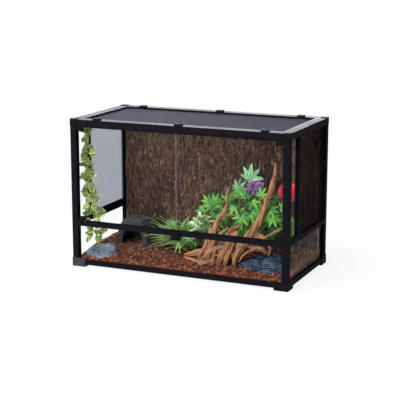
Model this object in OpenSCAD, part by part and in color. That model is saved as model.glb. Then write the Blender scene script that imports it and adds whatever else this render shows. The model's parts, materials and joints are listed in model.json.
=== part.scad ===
// Front-opening reptile terrarium: a knock-down frame of black hollow profiles that holds
// glass panes in grooves, two hinged glass doors, side vents, a lift-off screen lid, and the
// furnishings that it is set up with. Millimetres, +Z up, front towards -Y, origin on the
// floor at the middle of the footprint.

/* [Tank] */
// Overall width across the posts
tank_w = 900; // [860:10:1200]
// Overall depth across the posts
tank_d = 450; // [440:10:600]
// Height from the floor to the upper face of the top rails
tank_h = 586; // [560:2:760]

/* [Frame] */
// Side of the square corner posts, and depth of the rails
post_w = 25; // [24:0.5:28]
// Wall of the hollow frame profiles
profile_wall = 2.2; // [1.8:0.1:2.4]
// Height of the top rails
top_rail_h = 26; // [25:0.5:32]
// Height of the bottom rails
bottom_rail_h = 20; // [18:0.5:24]
// Height of the mid rails
mid_rail_h = 18; // [16:0.5:24]
// Underside of the mid rails above the floor
mid_rail_z = 166; // [150:2:190]
// Width of the upright bar in each side
bar_w = 22; // [18:1:30]
// From the front face to the upright bar
bar_front = 110; // [80:5:160]
// Depth of the upright bar
bar_d = 18; // [16:0.5:22]

/* [Feet] */
// Height of the corner feet
foot_h = 35; // [32:1:50]
// Length of a foot along each side
foot_len = 55; // [40:1:80]
// How far the feet stand proud of the frame
foot_proud = 2; // [1:0.5:4]
// Thickness of the foot under the rails
foot_floor = 10; // [6:1:16]
// Radius of the non-slip pads
pad_r = 9; // [6:0.5:11]
// Thickness of the non-slip pads
pad_t = 2.5; // [2:0.1:3.5]

/* [Glass] */
// Thickness of the fixed panes
glass_t = 4; // [3:0.5:5]
// From the outer face of the frame to a groove
groove_in = 7.7; // [7:0.1:8.5]
// Depth of the grooves in the posts, top and bottom rails
groove_d = 8; // [6:0.5:8]
// Depth of the grooves in the mid rails and bars
mid_groove_d = 5; // [4:0.5:6]
// Thickness of the base pane
base_t = 5; // [4:0.5:6]

/* [Doors] */
// Thickness of the door panes
door_t = 5; // [4:0.5:5]
// From the outer face of the frame to the door's face
door_in = 2; // [1.8:0.1:2.5]
// Gap between the two doors
door_gap = 2; // [1:0.5:4]
// Length of the pivot shoes on the door corners
shoe_len = 22; // [16:1:40]
// Height of the pivot shoes
shoe_h = 19; // [14:1:40]
// Radius of the hinge pins
pin_r = 1.95; // [1.5:0.05:2.2]

/* [Lid] */
// Height of the lid frame
lid_t = 17; // [15:0.5:18]
// Width of the lid frame's bars
lid_bar = 22; // [20:1:30]
// From the middle to the outer lid bolts
bolt_x = 345; // [200:5:360]
// Width of a lid bolt
bolt_w = 20; // [14:1:26]
// Thickness of a lid bolt
bolt_t = 2.2; // [1.8:0.1:3]

/* [Lock] */
// Width of the lock housing
lock_w = 37; // [36:1:50]
// Height of the lock housing
lock_h = 30; // [28:1:40]
// Reach of the lock's cam from its centre
cam_len = 16.6; // [15:0.2:17]

/* [Cable port] */
// Radius of the port's flange
port_r = 19; // [17:0.5:24]
// Radius of the port's tube
port_tube_r = 12.6; // [11:0.2:14]
// From the tank's middle back to the port
port_y = 124; // [60:2:150]
// From the top of the frame down to the port
port_down = 91; // [80:1:200]

/* [Furnishings] */
// Depth of the loose bedding along the front
soil_front = 11; // [11:0.5:14]
// How much higher the bedding lies at the back
soil_rise = 31; // [20:1:40]
// Thickness of the bark background
bark_t = 19; // [14:1:24]
// Width of the hide cave at its foot
cave_w = 150; // [120:5:170]
// Height of the hide cave above the bedding at the back
cave_h = 98; // [80:2:110]
// Wall of the hide cave
cave_wall = 9; // [6:1:14]
// Half length of the water dish
dish_r = 60; // [50:1:64]
// Half length of the slate slab
slate_r = 112; // [90:2:118]
// Leaves on the hanging vine
vine_leaves = 48; // [30:1:60]
// Blades in the grass tuft
grass_blades = 32; // [20:1:60]

/* [Hidden] */

frame_color = "#1b191d";
glass_color = [0.75, 0.88, 0.88, 0.25];
mesh_color = [0.28, 0.27, 0.32, 0.6];
half_w = tank_w / 2;
half_d = tank_d / 2;
slack = 0.3;                            // clearance on each face of a part that drops or slides in
edge_gap = 1;                           // clearance at the free edges of a pane
cut = 1;                                // how far a cutting shape runs past a face
pane_in = groove_in + slack;            // outer face of the frame to a fixed pane
groove_w = glass_t + 2 * slack;
post_r = 2.5;                           // rounding of the outer corners
bottom_z = foot_floor;                  // underside of the bottom rails
pad_show = 1;                           // how far the pads stand out of the feet
rail_top = bottom_z + bottom_rail_h;    // upper face of the bottom rails
top_z = tank_h - top_rail_h;            // underside of the top rails
mid_top = mid_rail_z + mid_rail_h;
corner_over = 2;                        // the corner connectors stand above the rails
corner_under = 1;                       // and reach below them
corner_proud = 1;                       // and stand proud of them
peg_len = 20;
cell = post_w - groove_d - 2 * profile_wall;        // main hollow of a post
rail_cell_z = groove_d + profile_wall;              // hollow of a top rail above its underside
rail_cell_h = top_rail_h - rail_cell_z - profile_wall;
rail_cell_w = post_w - 2 * profile_wall;
ledge_w = 8;
ledge_t = 2.5;
base_z = bottom_z + 2 + ledge_t - 0.5;              // underside of the base pane
base_top = base_z + base_t;
pane_z = rail_top - groove_d;                       // foot of the lower panes, in the rail's groove
pane_top = top_z + groove_d - edge_gap;             // head of the upper panes
low_pane_top = mid_rail_z + mid_groove_d - edge_gap;
mid_pane_z = mid_top - mid_groove_d;                // foot of the upper side panes
inner_w = half_w - post_w;              // from the middle to the posts' inner faces
inner_d = half_d - post_w;
pane_x = half_w - pane_in - glass_t;    // from the middle to the side panes' inner faces
pane_y = half_d - pane_in - glass_t;

// Lid
lid_edge = 0.8;                         // gap all round the lid
lid_z = tank_h - lid_t;
lid_x = inner_w - lid_edge;             // half size of the lid
lid_y = inner_d - lid_edge;
rebate_in = 14;                         // outer edge of the lid to the rebate that holds the mesh
rebate_h = 8;                           // depth of the rebate below the lid's upper face
mesh_t = 0.8;
mesh_bar = 5;                           // between the openings of the screens
lid_columns = 12;
lid_rows = 5;
spline_t = 3.6;
guide_base = 0.8;
guide_h = 5.2;
guide_wall = 3;
guide_len = 12.4;                       // along the bolt's travel
bolt_gap = 0.2;
bolt_len = 12.6;
nub_h = 3.6;
keeper_len = 8;
keeper_in = post_w - 11;                // outer face of the frame to the keeper

// Doors
shoe_r = 4.2;                           // half thickness of a pivot shoe
pivot_in = door_in + door_t / 2;        // outer face of the frame to the pivot's axis
pivot_side = 7;                         // inner face of the post to the pivot's axis
pane_past = 4;                          // of the door pane past the pivot's axis
pivot_x = inner_w - pivot_side;
pivot_fit = 0.05;
pin_len = 7;
pin_hole = 8;
door_clear = 0.8;                       // above and below the pivot shoes
shoe_floor = 1.5;                       // of a shoe under the glass edge
door_z = mid_top + door_clear;
door_top = top_z - door_clear;
lip_in = door_in + door_t + slack;
lip_t = 2;
lip_h = 5;
lip_x = pivot_x - shoe_len - 2;

// Lock
lock_d = 9.4;
lock_z = mid_top - lock_h - 3;
lock_axis_z = mid_rail_z + 6;
lock_plate = 5;                         // thickness of the housing's front plate
cam_t = 2.8;
cam_w = 10;
lock_cell = 17.4;                       // half width of the space that the cam turns in
knob_r = 9;
knob_t = 3;
knob_collar = 0.6;                      // of the housing under the knob
shaft_r = 5;
lock_fit = 0.06;

// Cable port
port_out = half_w - groove_in - slack - glass_t / 2;    // plane of the vent mesh
port_wall = 2.1;
port_plate = 3;
port_cap_r = 15;
port_pin_r = 2;
port_z = tank_h - port_down;
vent_bar = 14;                          // width of the vent frames' bars
vent_seat = 3;                          // depth of the slot that holds the mesh
vent_columns = 5;
vent_rows = 6;

// ---------- helpers ----------

// Places its children, drawn for the front left corner with +X and +Y inwards, at a corner
module at_corner(right, rear) {
    translate([right ? half_w : -half_w, rear ? half_d : -half_d, 0])
        mirror([right ? 1 : 0, 0, 0])
            mirror([0, rear ? 1 : 0, 0])
                children();
}

// Mirrors its children, drawn for the left side, to the right side where asked
module side(right) {
    mirror([right ? 1 : 0, 0, 0]) children();
}

module front_or_rear(rear) {
    mirror([0, rear ? 1 : 0, 0]) children();
}

// A profile drawn as (inwards, up) runs along X between the posts at the front
module along_front(z, length) {
    translate([-length / 2, -half_d, z]) rotate([90, 0, 90]) linear_extrude(length) children();
}

// The same along Y at the left side
module along_left(z, length) {
    translate([-half_w, length / 2, z]) rotate([90, 0, 0]) linear_extrude(length) children();
}

module box(low, high) {
    translate(low) cube(high - low);
}

// A ring of bars seen from above, outer half sizes x and y
module ring(x, y, bar) {
    difference() {
        square([2 * x, 2 * y], center = true);
        square([2 * (x - bar), 2 * (y - bar)], center = true);
    }
}

// Rounds the outer corner at the origin of a profile
module corner_round(r) {
    difference() {
        translate([-cut, -cut]) square(r + cut);
        translate([r, r]) circle(r, $fn = 32);
    }
}

// ---------- frame ----------

module post_profile() {
    inner_cell = post_w - groove_d;
    difference() {
        square(post_w);
        corner_round(post_r);
        translate([groove_in, post_w - groove_d]) square([groove_w, groove_d + cut]);
        translate([post_w - groove_d, groove_in]) square([groove_d + cut, groove_w]);
        translate([profile_wall, profile_wall]) square(cell);
        translate([inner_cell, inner_cell]) square(groove_d - profile_wall);
    }
}

module post(right, rear) {
    color(frame_color)
        at_corner(right, rear)
            translate([0, 0, bottom_z]) linear_extrude(top_z - corner_under - bottom_z) post_profile();
}

module bottom_rail_profile(ledge) {
    cell_h = bottom_rail_h - groove_d - 2 * profile_wall;
    difference() {
        square([post_w, bottom_rail_h]);
        translate([groove_in, bottom_rail_h - groove_d]) square([groove_w, groove_d + cut]);
        translate([profile_wall, profile_wall]) square([rail_cell_w, cell_h]);
    }
    if (ledge) translate([post_w, base_z - bottom_z - ledge_t]) square([ledge_w, ledge_t]);
}

module bottom_rail_long(rear) {
    color(frame_color)
        front_or_rear(rear) along_front(bottom_z, 2 * inner_w) bottom_rail_profile(true);
}

module bottom_rail_short(right) {
    color(frame_color)
        side(right) along_left(bottom_z, 2 * inner_d) bottom_rail_profile(false);
}

module top_rail_profile(groove) {
    difference() {
        square([post_w, top_rail_h]);
        if (groove) translate([groove_in, -cut]) square([groove_w, groove_d + cut]);
        translate([profile_wall, rail_cell_z]) square([rail_cell_w, rail_cell_h]);
    }
}

module lid_ledge() {
    translate([post_w, lid_z - slack - ledge_t - top_z]) square([ledge_w, ledge_t]);
}

// Lip behind the doors, drawn as (inwards, up) from the rail's face
module door_lip(z) {
    along_front(z, 2 * lip_x) translate([lip_in, 0]) square([lip_t, lip_h]);
}

module pivot_holes(z) {
    for (s = [-1, 1])
        translate([s * pivot_x, -half_d + pivot_in, z])
            cylinder(r = pin_r + pivot_fit, h = pin_hole + cut, $fn = 32);
}

module top_rail_front() {
    color(frame_color) {
        difference() {
            along_front(top_z, 2 * inner_w) top_rail_profile(false);
            pivot_holes(top_z - cut);
        }
        along_front(top_z, 2 * inner_w) lid_ledge();
        door_lip(top_z - lip_h);
    }
}

module top_rail_rear() {
    color(frame_color)
        front_or_rear(true) along_front(top_z, 2 * inner_w) {
            top_rail_profile(true);
            lid_ledge();
        }
}

module top_rail_short(right) {
    color(frame_color)
        side(right) {
            along_left(top_z, 2 * inner_d) top_rail_profile(true);
            along_left(top_z, 2 * (inner_d - ledge_w - slack)) lid_ledge();
        }
}

module mid_rail_front() {
    cell_in = pivot_in + pin_r + profile_wall;
    cell_z = mid_groove_d + profile_wall;
    color(frame_color) {
        difference() {
            along_front(mid_rail_z, 2 * inner_w)
                difference() {
                    square([post_w, mid_rail_h]);
                    translate([groove_in, -cut]) square([groove_w, mid_groove_d + cut]);
                    translate([cell_in, cell_z])
                        square([post_w - cell_in - profile_wall, mid_rail_h - cell_z - profile_wall]);
                }
            pivot_holes(mid_top - pin_hole);
        }
        door_lip(mid_top);
    }
}

module mid_rail_side(right) {
    color(frame_color)
        side(right) along_left(mid_rail_z, 2 * inner_d)
            difference() {
                square([post_w, mid_rail_h]);
                for (z = [-cut, mid_rail_h - mid_groove_d])
                    translate([groove_in, z]) square([groove_w, mid_groove_d + cut]);
            }
}

module side_bar(right) {
    color(frame_color)
        side(right) translate([-half_w, -half_d + bar_front, mid_top])
            linear_extrude(top_z - mid_top)
                difference() {
                    square([bar_d, bar_w]);
                    for (y = [-cut, bar_w - mid_groove_d])
                        translate([groove_in, y]) square([groove_w, mid_groove_d + cut]);
                    translate([profile_wall, mid_groove_d + profile_wall])
                        square([bar_d - 2 * profile_wall, bar_w - 2 * (mid_groove_d + profile_wall)]);
                }
}

// Three-way piece: a capped block with pegs that plug into the post and both rails
module corner_connector() {
    block_z = top_z - corner_under;
    peg = cell - 2 * slack;
    rail_peg_w = rail_cell_w - 2 * slack;
    rail_peg_h = rail_cell_h - 2 * slack;
    groove_end = post_w - groove_d;
    difference() {
        translate([0, 0, block_z])
            linear_extrude(tank_h + corner_over - block_z)
                difference() {
                    translate([-corner_proud, -corner_proud]) square(post_w + corner_proud);
                    translate([-corner_proud, -corner_proud]) corner_round(post_r);
                }
        box([groove_end, groove_in, block_z - cut], [post_w + cut, groove_in + groove_w, top_z + groove_d]);
        box([groove_in, groove_end, block_z - cut], [groove_in + groove_w, post_w + cut, top_z + groove_d]);
    }
    translate([profile_wall + slack, profile_wall + slack, block_z - peg_len]) cube([peg, peg, peg_len]);
    translate([post_w, profile_wall + slack, top_z + rail_cell_z + slack])
        cube([peg_len, rail_peg_w, rail_peg_h]);
    translate([profile_wall + slack, post_w, top_z + rail_cell_z + slack])
        cube([rail_peg_w, peg_len, rail_peg_h]);
}

module corner_connectors() {
    color("#232126")
        for (right = [false, true], rear = [false, true]) at_corner(right, rear) corner_connector();
}

// An angle that takes the foot of the post and the ends of both bottom rails
module foot() {
    difference() {
        translate([0, 0, pad_show]) linear_extrude(foot_h - pad_show)
            difference() {
                union() {
                    translate([-foot_proud, -foot_proud]) square([foot_len + foot_proud, post_w + foot_proud]);
                    translate([-foot_proud, -foot_proud]) square([post_w + foot_proud, foot_len + foot_proud]);
                }
                translate([-foot_proud, -foot_proud]) corner_round(post_r);
            }
        box([0, 0, bottom_z], [foot_len + cut, foot_len + cut, foot_h + cut]);
        translate([post_w / 2, post_w / 2, 0]) cylinder(r = pad_r, h = pad_t, $fn = 48);
        box([foot_len - 3, -foot_proud - cut, -cut], [foot_len + cut, -foot_proud + 0.8, foot_h + cut]);
    }
}

module feet() {
    color("#26242a")
        for (right = [false, true], rear = [false, true]) at_corner(right, rear) foot();
}

module foot_pads() {
    color("#3a3a3c")
        for (right = [false, true], rear = [false, true])
            at_corner(right, rear)
                translate([post_w / 2, post_w / 2, 0]) cylinder(r = pad_r, h = pad_t, $fn = 48);
}

// ---------- panes and vents ----------

module base_pane() {
    color(glass_color)
        box([-inner_w + slack, -inner_d + slack, base_z], [inner_w - slack, inner_d - slack, base_top]);
}

module long_pane(top) {
    x = inner_w + groove_d - edge_gap;
    box([-x, -half_d + pane_in, pane_z], [x, -half_d + pane_in + glass_t, top]);
}

module back_pane() {
    color(glass_color) front_or_rear(true) long_pane(pane_top);
}

module front_lower_pane() {
    color(glass_color) long_pane(low_pane_top);
}

module side_lower_panes() {
    y = inner_d + groove_d - edge_gap;
    color(glass_color)
        for (right = [false, true])
            side(right) box([-half_w + pane_in, -y, pane_z], [-pane_x, y, low_pane_top]);
}

module side_front_panes() {
    y = inner_d + groove_d - edge_gap;
    color(glass_color)
        for (right = [false, true])
            side(right)
                box([-half_w + pane_in, -y, mid_pane_z],
                    [-pane_x, -half_d + bar_front + mid_groove_d - edge_gap, pane_top]);
}

vent_y0 = -half_d + bar_front + bar_w - mid_groove_d + edge_gap;
vent_y1 = inner_d + groove_d - edge_gap;

// Outline of a vent frame with its opening drawn in by the given amount, as (along Y, up)
module vent_outline(inset) {
    translate([vent_y0 + inset, mid_pane_z + inset])
        square([vent_y1 - vent_y0 - 2 * inset, pane_top - mid_pane_z - 2 * inset]);
}

// A flat shape drawn as (along Y, up), centred on the left vent's plane
module in_left_vent(t) {
    translate([-port_out - t / 2, 0, 0]) rotate([90, 0, 90]) linear_extrude(t) children();
}

module vent_frames() {
    color(frame_color)
        for (right = [false, true])
            side(right)
                difference() {
                    in_left_vent(glass_t) difference() {
                        vent_outline(0);
                        vent_outline(vent_bar);
                    }
                    in_left_vent(mesh_t) vent_outline(vent_bar - vent_seat);
                }
}

// Openings of a screen, evenly spaced over a rectangle that starts at the origin. The real
// cloth is far finer, so this grid stands for it.
module screen_openings(w, h, columns, rows) {
    pitch_w = w / columns;
    pitch_h = h / rows;
    for (i = [0:columns - 1], j = [0:rows - 1])
        translate([i * pitch_w + mesh_bar / 2, j * pitch_h + mesh_bar / 2])
            square([pitch_w - mesh_bar, pitch_h - mesh_bar]);
}

module vent_screen(ported) {
    hole_w = vent_y1 - vent_y0 - 2 * vent_bar;
    hole_h = pane_top - mid_pane_z - 2 * vent_bar;
    difference() {
        vent_outline(vent_bar - vent_seat);
        difference() {
            translate([vent_y0 + vent_bar, mid_pane_z + vent_bar])
                screen_openings(hole_w, hole_h, vent_columns, vent_rows);
            if (ported) translate([port_y, port_z]) circle(port_r + mesh_bar, $fn = 32);
        }
        if (ported) translate([port_y, port_z]) circle(port_tube_r + slack, $fn = 48);
    }
}

module vent_meshes() {
    color(mesh_color)
        for (right = [false, true])
            side(right) in_left_vent(mesh_t) vent_screen(right);
}

// ---------- cable port in the right vent ----------

// Places its children, drawn with +Z outwards from the mesh's plane, at the port
module at_port() {
    translate([port_out, port_y, port_z]) rotate([0, 90, 0]) children();
}

module half_window(r_in, r_out, h) {
    linear_extrude(h)
        intersection() {
            difference() {
                circle(r_out, $fn = 48);
                circle(r_in, $fn = 48);
            }
            translate([port_wall, -port_r]) square([port_r, 2 * port_r]);
        }
}

module port_flange() {
    bore = port_tube_r - port_wall;
    color("#201f24")
        at_port() difference() {
            union() {
                translate([0, 0, mesh_t / 2]) cylinder(r = port_r, h = port_plate, $fn = 64);
                translate([0, 0, -8]) cylinder(r = port_tube_r, h = 8 + mesh_t, $fn = 64);
            }
            translate([0, 0, -9]) cylinder(r = bore, h = 9 + mesh_t / 2, $fn = 64);
            half_window(port_pin_r + port_wall, bore - port_wall, 8);
            translate([0, 0, -cut]) cylinder(r = port_pin_r + pivot_fit, h = 8, $fn = 32);
        }
}

module port_nut() {
    color("#201f24")
        at_port() translate([0, 0, -mesh_t / 2 - 4])
            difference() {
                cylinder(r = port_r - 2, h = 4, $fn = 64);
                translate([0, 0, -cut]) cylinder(r = port_tube_r + slack, h = 6, $fn = 64);
                for (a = [0:30:330])
                    rotate([0, 0, a]) translate([port_r - 2, 0, -cut]) cylinder(r = 1.4, h = 6, $fn = 16);
            }
}

module port_cap() {
    bore = port_tube_r - port_wall;
    color("#2a282e")
        at_port() translate([0, 0, mesh_t / 2 + port_plate + slack]) {
            difference() {
                cylinder(r = port_cap_r, h = 2.6, $fn = 64);
                mirror([1, 0, 0]) translate([0, 0, -cut]) half_window(port_pin_r + port_wall, bore - port_wall, 6);
            }
            translate([0, 0, -port_plate - slack - 1]) cylinder(r = port_pin_r, h = port_plate + slack + 2, $fn = 32);
            translate([-1.2, -port_cap_r + 1.5, 2]) cube([2.4, 2 * port_cap_r - 3, 2.8]);
        }
}

// ---------- lid ----------

module lid_frame() {
    color(frame_color)
        difference() {
            translate([0, 0, lid_z]) linear_extrude(lid_t) ring(lid_x, lid_y, lid_bar);
            translate([0, 0, tank_h - rebate_h])
                linear_extrude(rebate_h + cut)
                    square([2 * (lid_x - rebate_in), 2 * (lid_y - rebate_in)], center = true);
            translate([0, 0, lid_z - cut]) linear_extrude(lid_t - rebate_h - profile_wall + cut)
                ring(lid_x - profile_wall, lid_y - profile_wall, lid_bar - 2 * profile_wall);
        }
}

module lid_mesh() {
    hole_x = lid_x - lid_bar;
    hole_y = lid_y - lid_bar;
    color(mesh_color)
        translate([0, 0, tank_h - rebate_h]) linear_extrude(mesh_t)
            difference() {
                square([2 * (lid_x - rebate_in - slack), 2 * (lid_y - rebate_in - slack)], center = true);
                translate([-hole_x, -hole_y]) screen_openings(2 * hole_x, 2 * hole_y, lid_columns, lid_rows);
            }
}

module lid_spline() {
    color("#2c2a31")
        translate([0, 0, tank_h - rebate_h + mesh_t]) linear_extrude(spline_t)
            ring(lid_x - rebate_in - slack, lid_y - rebate_in - slack, lid_bar - rebate_in);
}

// Each lid bolt is drawn for the front, sliding towards -Y, at its place along X
module at_bolt(place, rear) {
    translate([place * bolt_x, 0, 0]) front_or_rear(rear) translate([0, -lid_y, tank_h]) children();
}

guide_w = bolt_w + 2 * (guide_wall + bolt_gap);
nub_w = 8;

module lid_bolt_guides() {
    color("#2c2a31")
        for (place = [-1, 0, 1], rear = [false, true])
            at_bolt(place, rear)
                translate([-guide_w / 2, 1, 0])
                    difference() {
                        cube([guide_w, guide_len, guide_h]);
                        translate([guide_wall, -cut, guide_base])
                            cube([bolt_w + 2 * bolt_gap, guide_len + 2 * cut, bolt_t + 2 * bolt_gap]);
                        translate([(guide_w - nub_w) / 2 - slack, -cut, guide_base])
                            cube([nub_w + 2 * slack, guide_len + 2 * cut, guide_h]);
                    }
}

module lid_bolt(place, rear) {
    color("#38363d")
        at_bolt(place, rear) {
            translate([-bolt_w / 2, 0.4, guide_base + bolt_gap]) cube([bolt_w, bolt_len, bolt_t]);
            difference() {
                translate([-nub_w / 2, bolt_len - 4, guide_base + bolt_gap]) cube([nub_w, 4.4, bolt_t + nub_h]);
                for (y = [1, 2.6])
                    translate([-nub_w, bolt_len - 4 + y, guide_base + bolt_t + nub_h]) cube([2 * nub_w, 0.6, 1]);
            }
        }
}

module lid_keepers() {
    span = bolt_w + 2 * slack;
    color("#2c2a31")
        for (place = [-1, 0, 1], rear = [false, true])
            translate([place * bolt_x, 0, 0]) front_or_rear(rear)
                translate([-span / 2 - guide_wall, -half_d + keeper_in, tank_h])
                    difference() {
                        cube([span + 2 * guide_wall, keeper_len, guide_h + slack]);
                        translate([guide_wall, -cut, -cut])
                            cube([span, keeper_len + 2 * cut, guide_base + bolt_t + 2 * slack + cut]);
                    }
}

// ---------- doors ----------

// The left door's pane: it reaches past the pivot and stops half a gap from the middle
module door_pane() {
    box([-pivot_x - pane_past, -half_d + door_in, door_z + shoe_floor],
        [-door_gap / 2, -half_d + door_in + door_t, door_top - shoe_floor]);
}

module door_glass(right) {
    color(glass_color) side(right) door_pane();
}

// Shoe that grips a corner of the pane, with its hinge pin, drawn for the lower corner
module pivot_shoe(z, up) {
    translate([-pivot_x, -half_d + pivot_in, z]) mirror([0, 0, up ? 1 : 0]) {
        cylinder(r = shoe_r, h = shoe_h, $fn = 48);
        translate([0, -shoe_r, 0]) cube([shoe_len, 2 * shoe_r, shoe_h]);
        translate([0, 0, -pin_len]) cylinder(r = pin_r, h = pin_len + cut, $fn = 32);
    }
}

module door_pivots(right) {
    color(frame_color)
        side(right)
            difference() {
                union() {
                    pivot_shoe(door_z, false);
                    pivot_shoe(door_top, true);
                }
                door_pane();
            }
}

// ---------- lock ----------

module at_lock() {
    translate([0, -half_d, lock_axis_z]) rotate([90, 0, 0]) children();
}

module lock_housing() {
    color("#201f24")
        difference() {
            union() {
                box([-lock_w / 2, -half_d - lock_d, lock_z], [lock_w / 2, -half_d, lock_z + lock_h]);
                at_lock() cylinder(r = knob_r + 2.5, h = lock_d + knob_collar, $fn = 64);
            }
            box([-lock_cell, -half_d - lock_d + lock_plate, lock_z + 2],
                [lock_cell, -half_d + cut, lock_z + lock_h + knob_r]);
            at_lock() translate([0, 0, -cut]) cylinder(r = shaft_r + lock_fit, h = lock_d + 4, $fn = 64);
        }
}

module lock_knob() {
    color("#201f24")
        at_lock() {
            translate([0, 0, lock_d - lock_plate - cam_t])
                cylinder(r = shaft_r, h = lock_plate + cam_t + knob_collar + 1, $fn = 64);
            translate([0, 0, lock_d + knob_collar + slack])
                difference() {
                    cylinder(r = knob_r, h = knob_t, $fn = 64);
                    translate([-6, -1.1, knob_t - 1.6]) cube([12, 2.2, 3]);
                }
        }
}

// Lies across the housing at rest and turns up in front of both doors
module lock_cam() {
    color("#8d8c92")
        at_lock() translate([0, 0, lock_d - lock_plate - cam_t - slack])
            linear_extrude(cam_t)
                difference() {
                    intersection() {
                        union() {
                            circle(shaft_r + 2.5, $fn = 48);
                            translate([0, -cam_w / 2]) square([cam_len, cam_w]);
                        }
                        circle(cam_len, $fn = 96);
                    }
                    circle(shaft_r, $fn = 64);
                }
}

// ---------- bedding and background ----------

soil_z0 = base_top + soil_front;        // level of the bedding along the front
soil_back = inner_d - bark_t - 1;       // where the bedding meets the bark
// Slope of the bedding: share of the rise at a distance behind the front pane
soil_steps = [[0, 0], [53, 0.33], [113, 0.61], [163, 0.87], [260, 0.94]];
front_y = -pane_y + slack;
soil_line = [for (s = soil_steps) [front_y + s[0], soil_z0 + s[1] * soil_rise]];

module soil_profile(low) {
    polygon(concat([[front_y, low]], soil_line,
                   [[soil_back, soil_z0 + soil_rise], [soil_back, low]]));
}

module soil_run(low, x) {
    translate([-x, 0, 0]) rotate([90, 0, 90]) linear_extrude(2 * x) soil_profile(low);
}

// Everything below the bedding's surface, to seat the furnishings on it
module below_soil() {
    soil_run(-50, half_w);
}

module bedding() {
    color("#7a3b24") {
        difference() {
            soil_run(rail_top, pane_x - slack);
            for (s = [-1, 1])
                translate([s * half_w, -half_d, 0])
                    cube([2 * (post_w + slack), 2 * (post_w + slack), tank_h], center = true);
        }
        intersection() {
            soil_run(base_top, inner_w - slack);
            box([-inner_w, -inner_d + slack, base_top], [inner_w, soil_back, rail_top]);
        }
    }
}

// Furrows of the bark: two waves of different length and a slower swell, as a depth
function furrow(x) = 3.2 * abs(sin(x * 2.9)) + 2.2 * abs(sin(x * 1.13 + 40)) + 1.6 * sin(x * 0.37);
bark_step = 9;

module bark_background() {
    w = inner_w - slack;
    count = floor(2 * w / bark_step);
    face = [for (i = [0:count]) let (x = -w + 2 * w * i / count) [x, -bark_t + 2 + furrow(x)]];
    color("#5b4334")
        translate([0, inner_d - slack, base_top])
            linear_extrude(top_z - base_top - edge_gap)
                polygon(concat(face, [[w, 0], [-w, 0]]));
}

// ---------- stone furnishings ----------

// An uneven round outline
function blob(rx, ry, wave, turn, n = 20) =
    [for (i = [0:n - 1]) let (a = 360 * i / n, k = 1 + wave * (sin(3 * a + turn) + 0.6 * sin(5 * a + 2 * turn)))
        [rx * k * cos(a), ry * k * sin(a)]];

left_x = -pane_x;                       // inner faces of the side panes
right_x = pane_x;
cave_x = left_x + cave_w / 2 + 78;
cave_d = 112;
cave_y = 20;
cave_z = soil_z0 + 15;

module cave_front(w, h) {
    polygon([[-w / 2, 0], [-w / 2 + 6, h * 0.46], [-w * 0.42, h * 0.62], [-w * 0.36, h * 0.84],
             [-w * 0.3, h], [w * 0.26, h], [w * 0.33, h * 0.88], [w * 0.36, h * 0.66],
             [w / 2 - 8, h * 0.56], [w / 2, 0]]);
}

module cave_shape(w, d, h) {
    intersection() {
        translate([0, d / 2, 0]) rotate([90, 0, 0]) linear_extrude(d) cave_front(w, h);
        rotate([90, 0, 90]) translate([0, 0, -w])
            linear_extrude(2 * w)
                polygon([[-d / 2, 0], [-d / 2 + 4, h * 0.6], [-d / 2 + 12, h], [d / 2 - 14, h], [d / 2, 0]]);
    }
}

module hide_cave() {
    arch_w = cave_w * 0.62;
    arch_h = cave_h * 0.56;
    color("#4b4a50")
        difference() {
            translate([cave_x, cave_y, cave_z]) {
                difference() {
                    cave_shape(cave_w, cave_d, cave_h + 15);
                    translate([0, 0, -cut]) cave_shape(cave_w - 3 * cave_wall, cave_d - 2 * cave_wall, cave_h + 15 - cave_wall);
                    translate([0, 0, -cut]) rotate([90, 0, 0])
                        linear_extrude(cave_d)
                            polygon([[-arch_w / 2, 0], [-arch_w / 2 + 4, arch_h * 0.72 + 10], [-arch_w / 3, arch_h + 15],
                                     [arch_w / 3, arch_h + 15], [arch_w / 2 - 4, arch_h * 0.72 + 10], [arch_w / 2, 0]]);
                }
            }
            below_soil();
        }
}

dish_x = left_x + dish_r + 10;
dish_y = front_y + 69;
dish_h = 15;

module water_dish() {
    ry = dish_r * 0.86;
    color("#64798c")
        difference() {
            translate([dish_x, dish_y, soil_z0 + soil_rise * 0.4]) rotate([9, 0, 0])
                difference() {
                    hull() {
                        translate([0, 0, -12]) linear_extrude(1) polygon(blob(dish_r, ry, 0.045, 20));
                        translate([0, 0, dish_h - 1]) linear_extrude(1) polygon(blob(dish_r * 0.9, ry * 0.88, 0.05, 35));
                    }
                    hull() {
                        translate([0, 0, dish_h * 0.3]) linear_extrude(1) polygon(blob(dish_r * 0.5, ry * 0.45, 0.04, 50));
                        translate([0, 0, dish_h + 1]) linear_extrude(1) polygon(blob(dish_r * 0.7, ry * 0.68, 0.05, 50));
                    }
                }
            below_soil();
        }
}

slate_x = right_x - slate_r - 20;
slate_y = front_y + 158;
slate_layers = 4;
slate_step = 8.5;

// Slabs of falling size, each set back from the one below
module slate_rock() {
    color("#4f6076")
        difference() {
            translate([slate_x, slate_y, soil_z0 + soil_rise * 0.72 - 15]) rotate([8, -2, 4])
                for (i = [0:slate_layers - 1])
                    translate([3 * i, 7 * i, i * slate_step])
                        linear_extrude(slate_step + 1)
                            polygon(blob(slate_r - 7 * i, 78 - 9 * i, 0.03 + 0.008 * i, 70 + 35 * i));
            below_soil();
        }
}

// ---------- driftwood ----------

wood_reach = 438;                       // from the right pane to the line that the wood is drawn from
wood_dx = right_x - wood_reach;

// A limb is a chain of round sections, each [x, y, z, radius]
module limb(points, fn = 8) {
    for (i = [0:len(points) - 2])
        hull() for (p = [points[i], points[i + 1]]) translate([p[0], p[1], p[2]]) sphere(r = p[3], $fn = fn);
}

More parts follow.
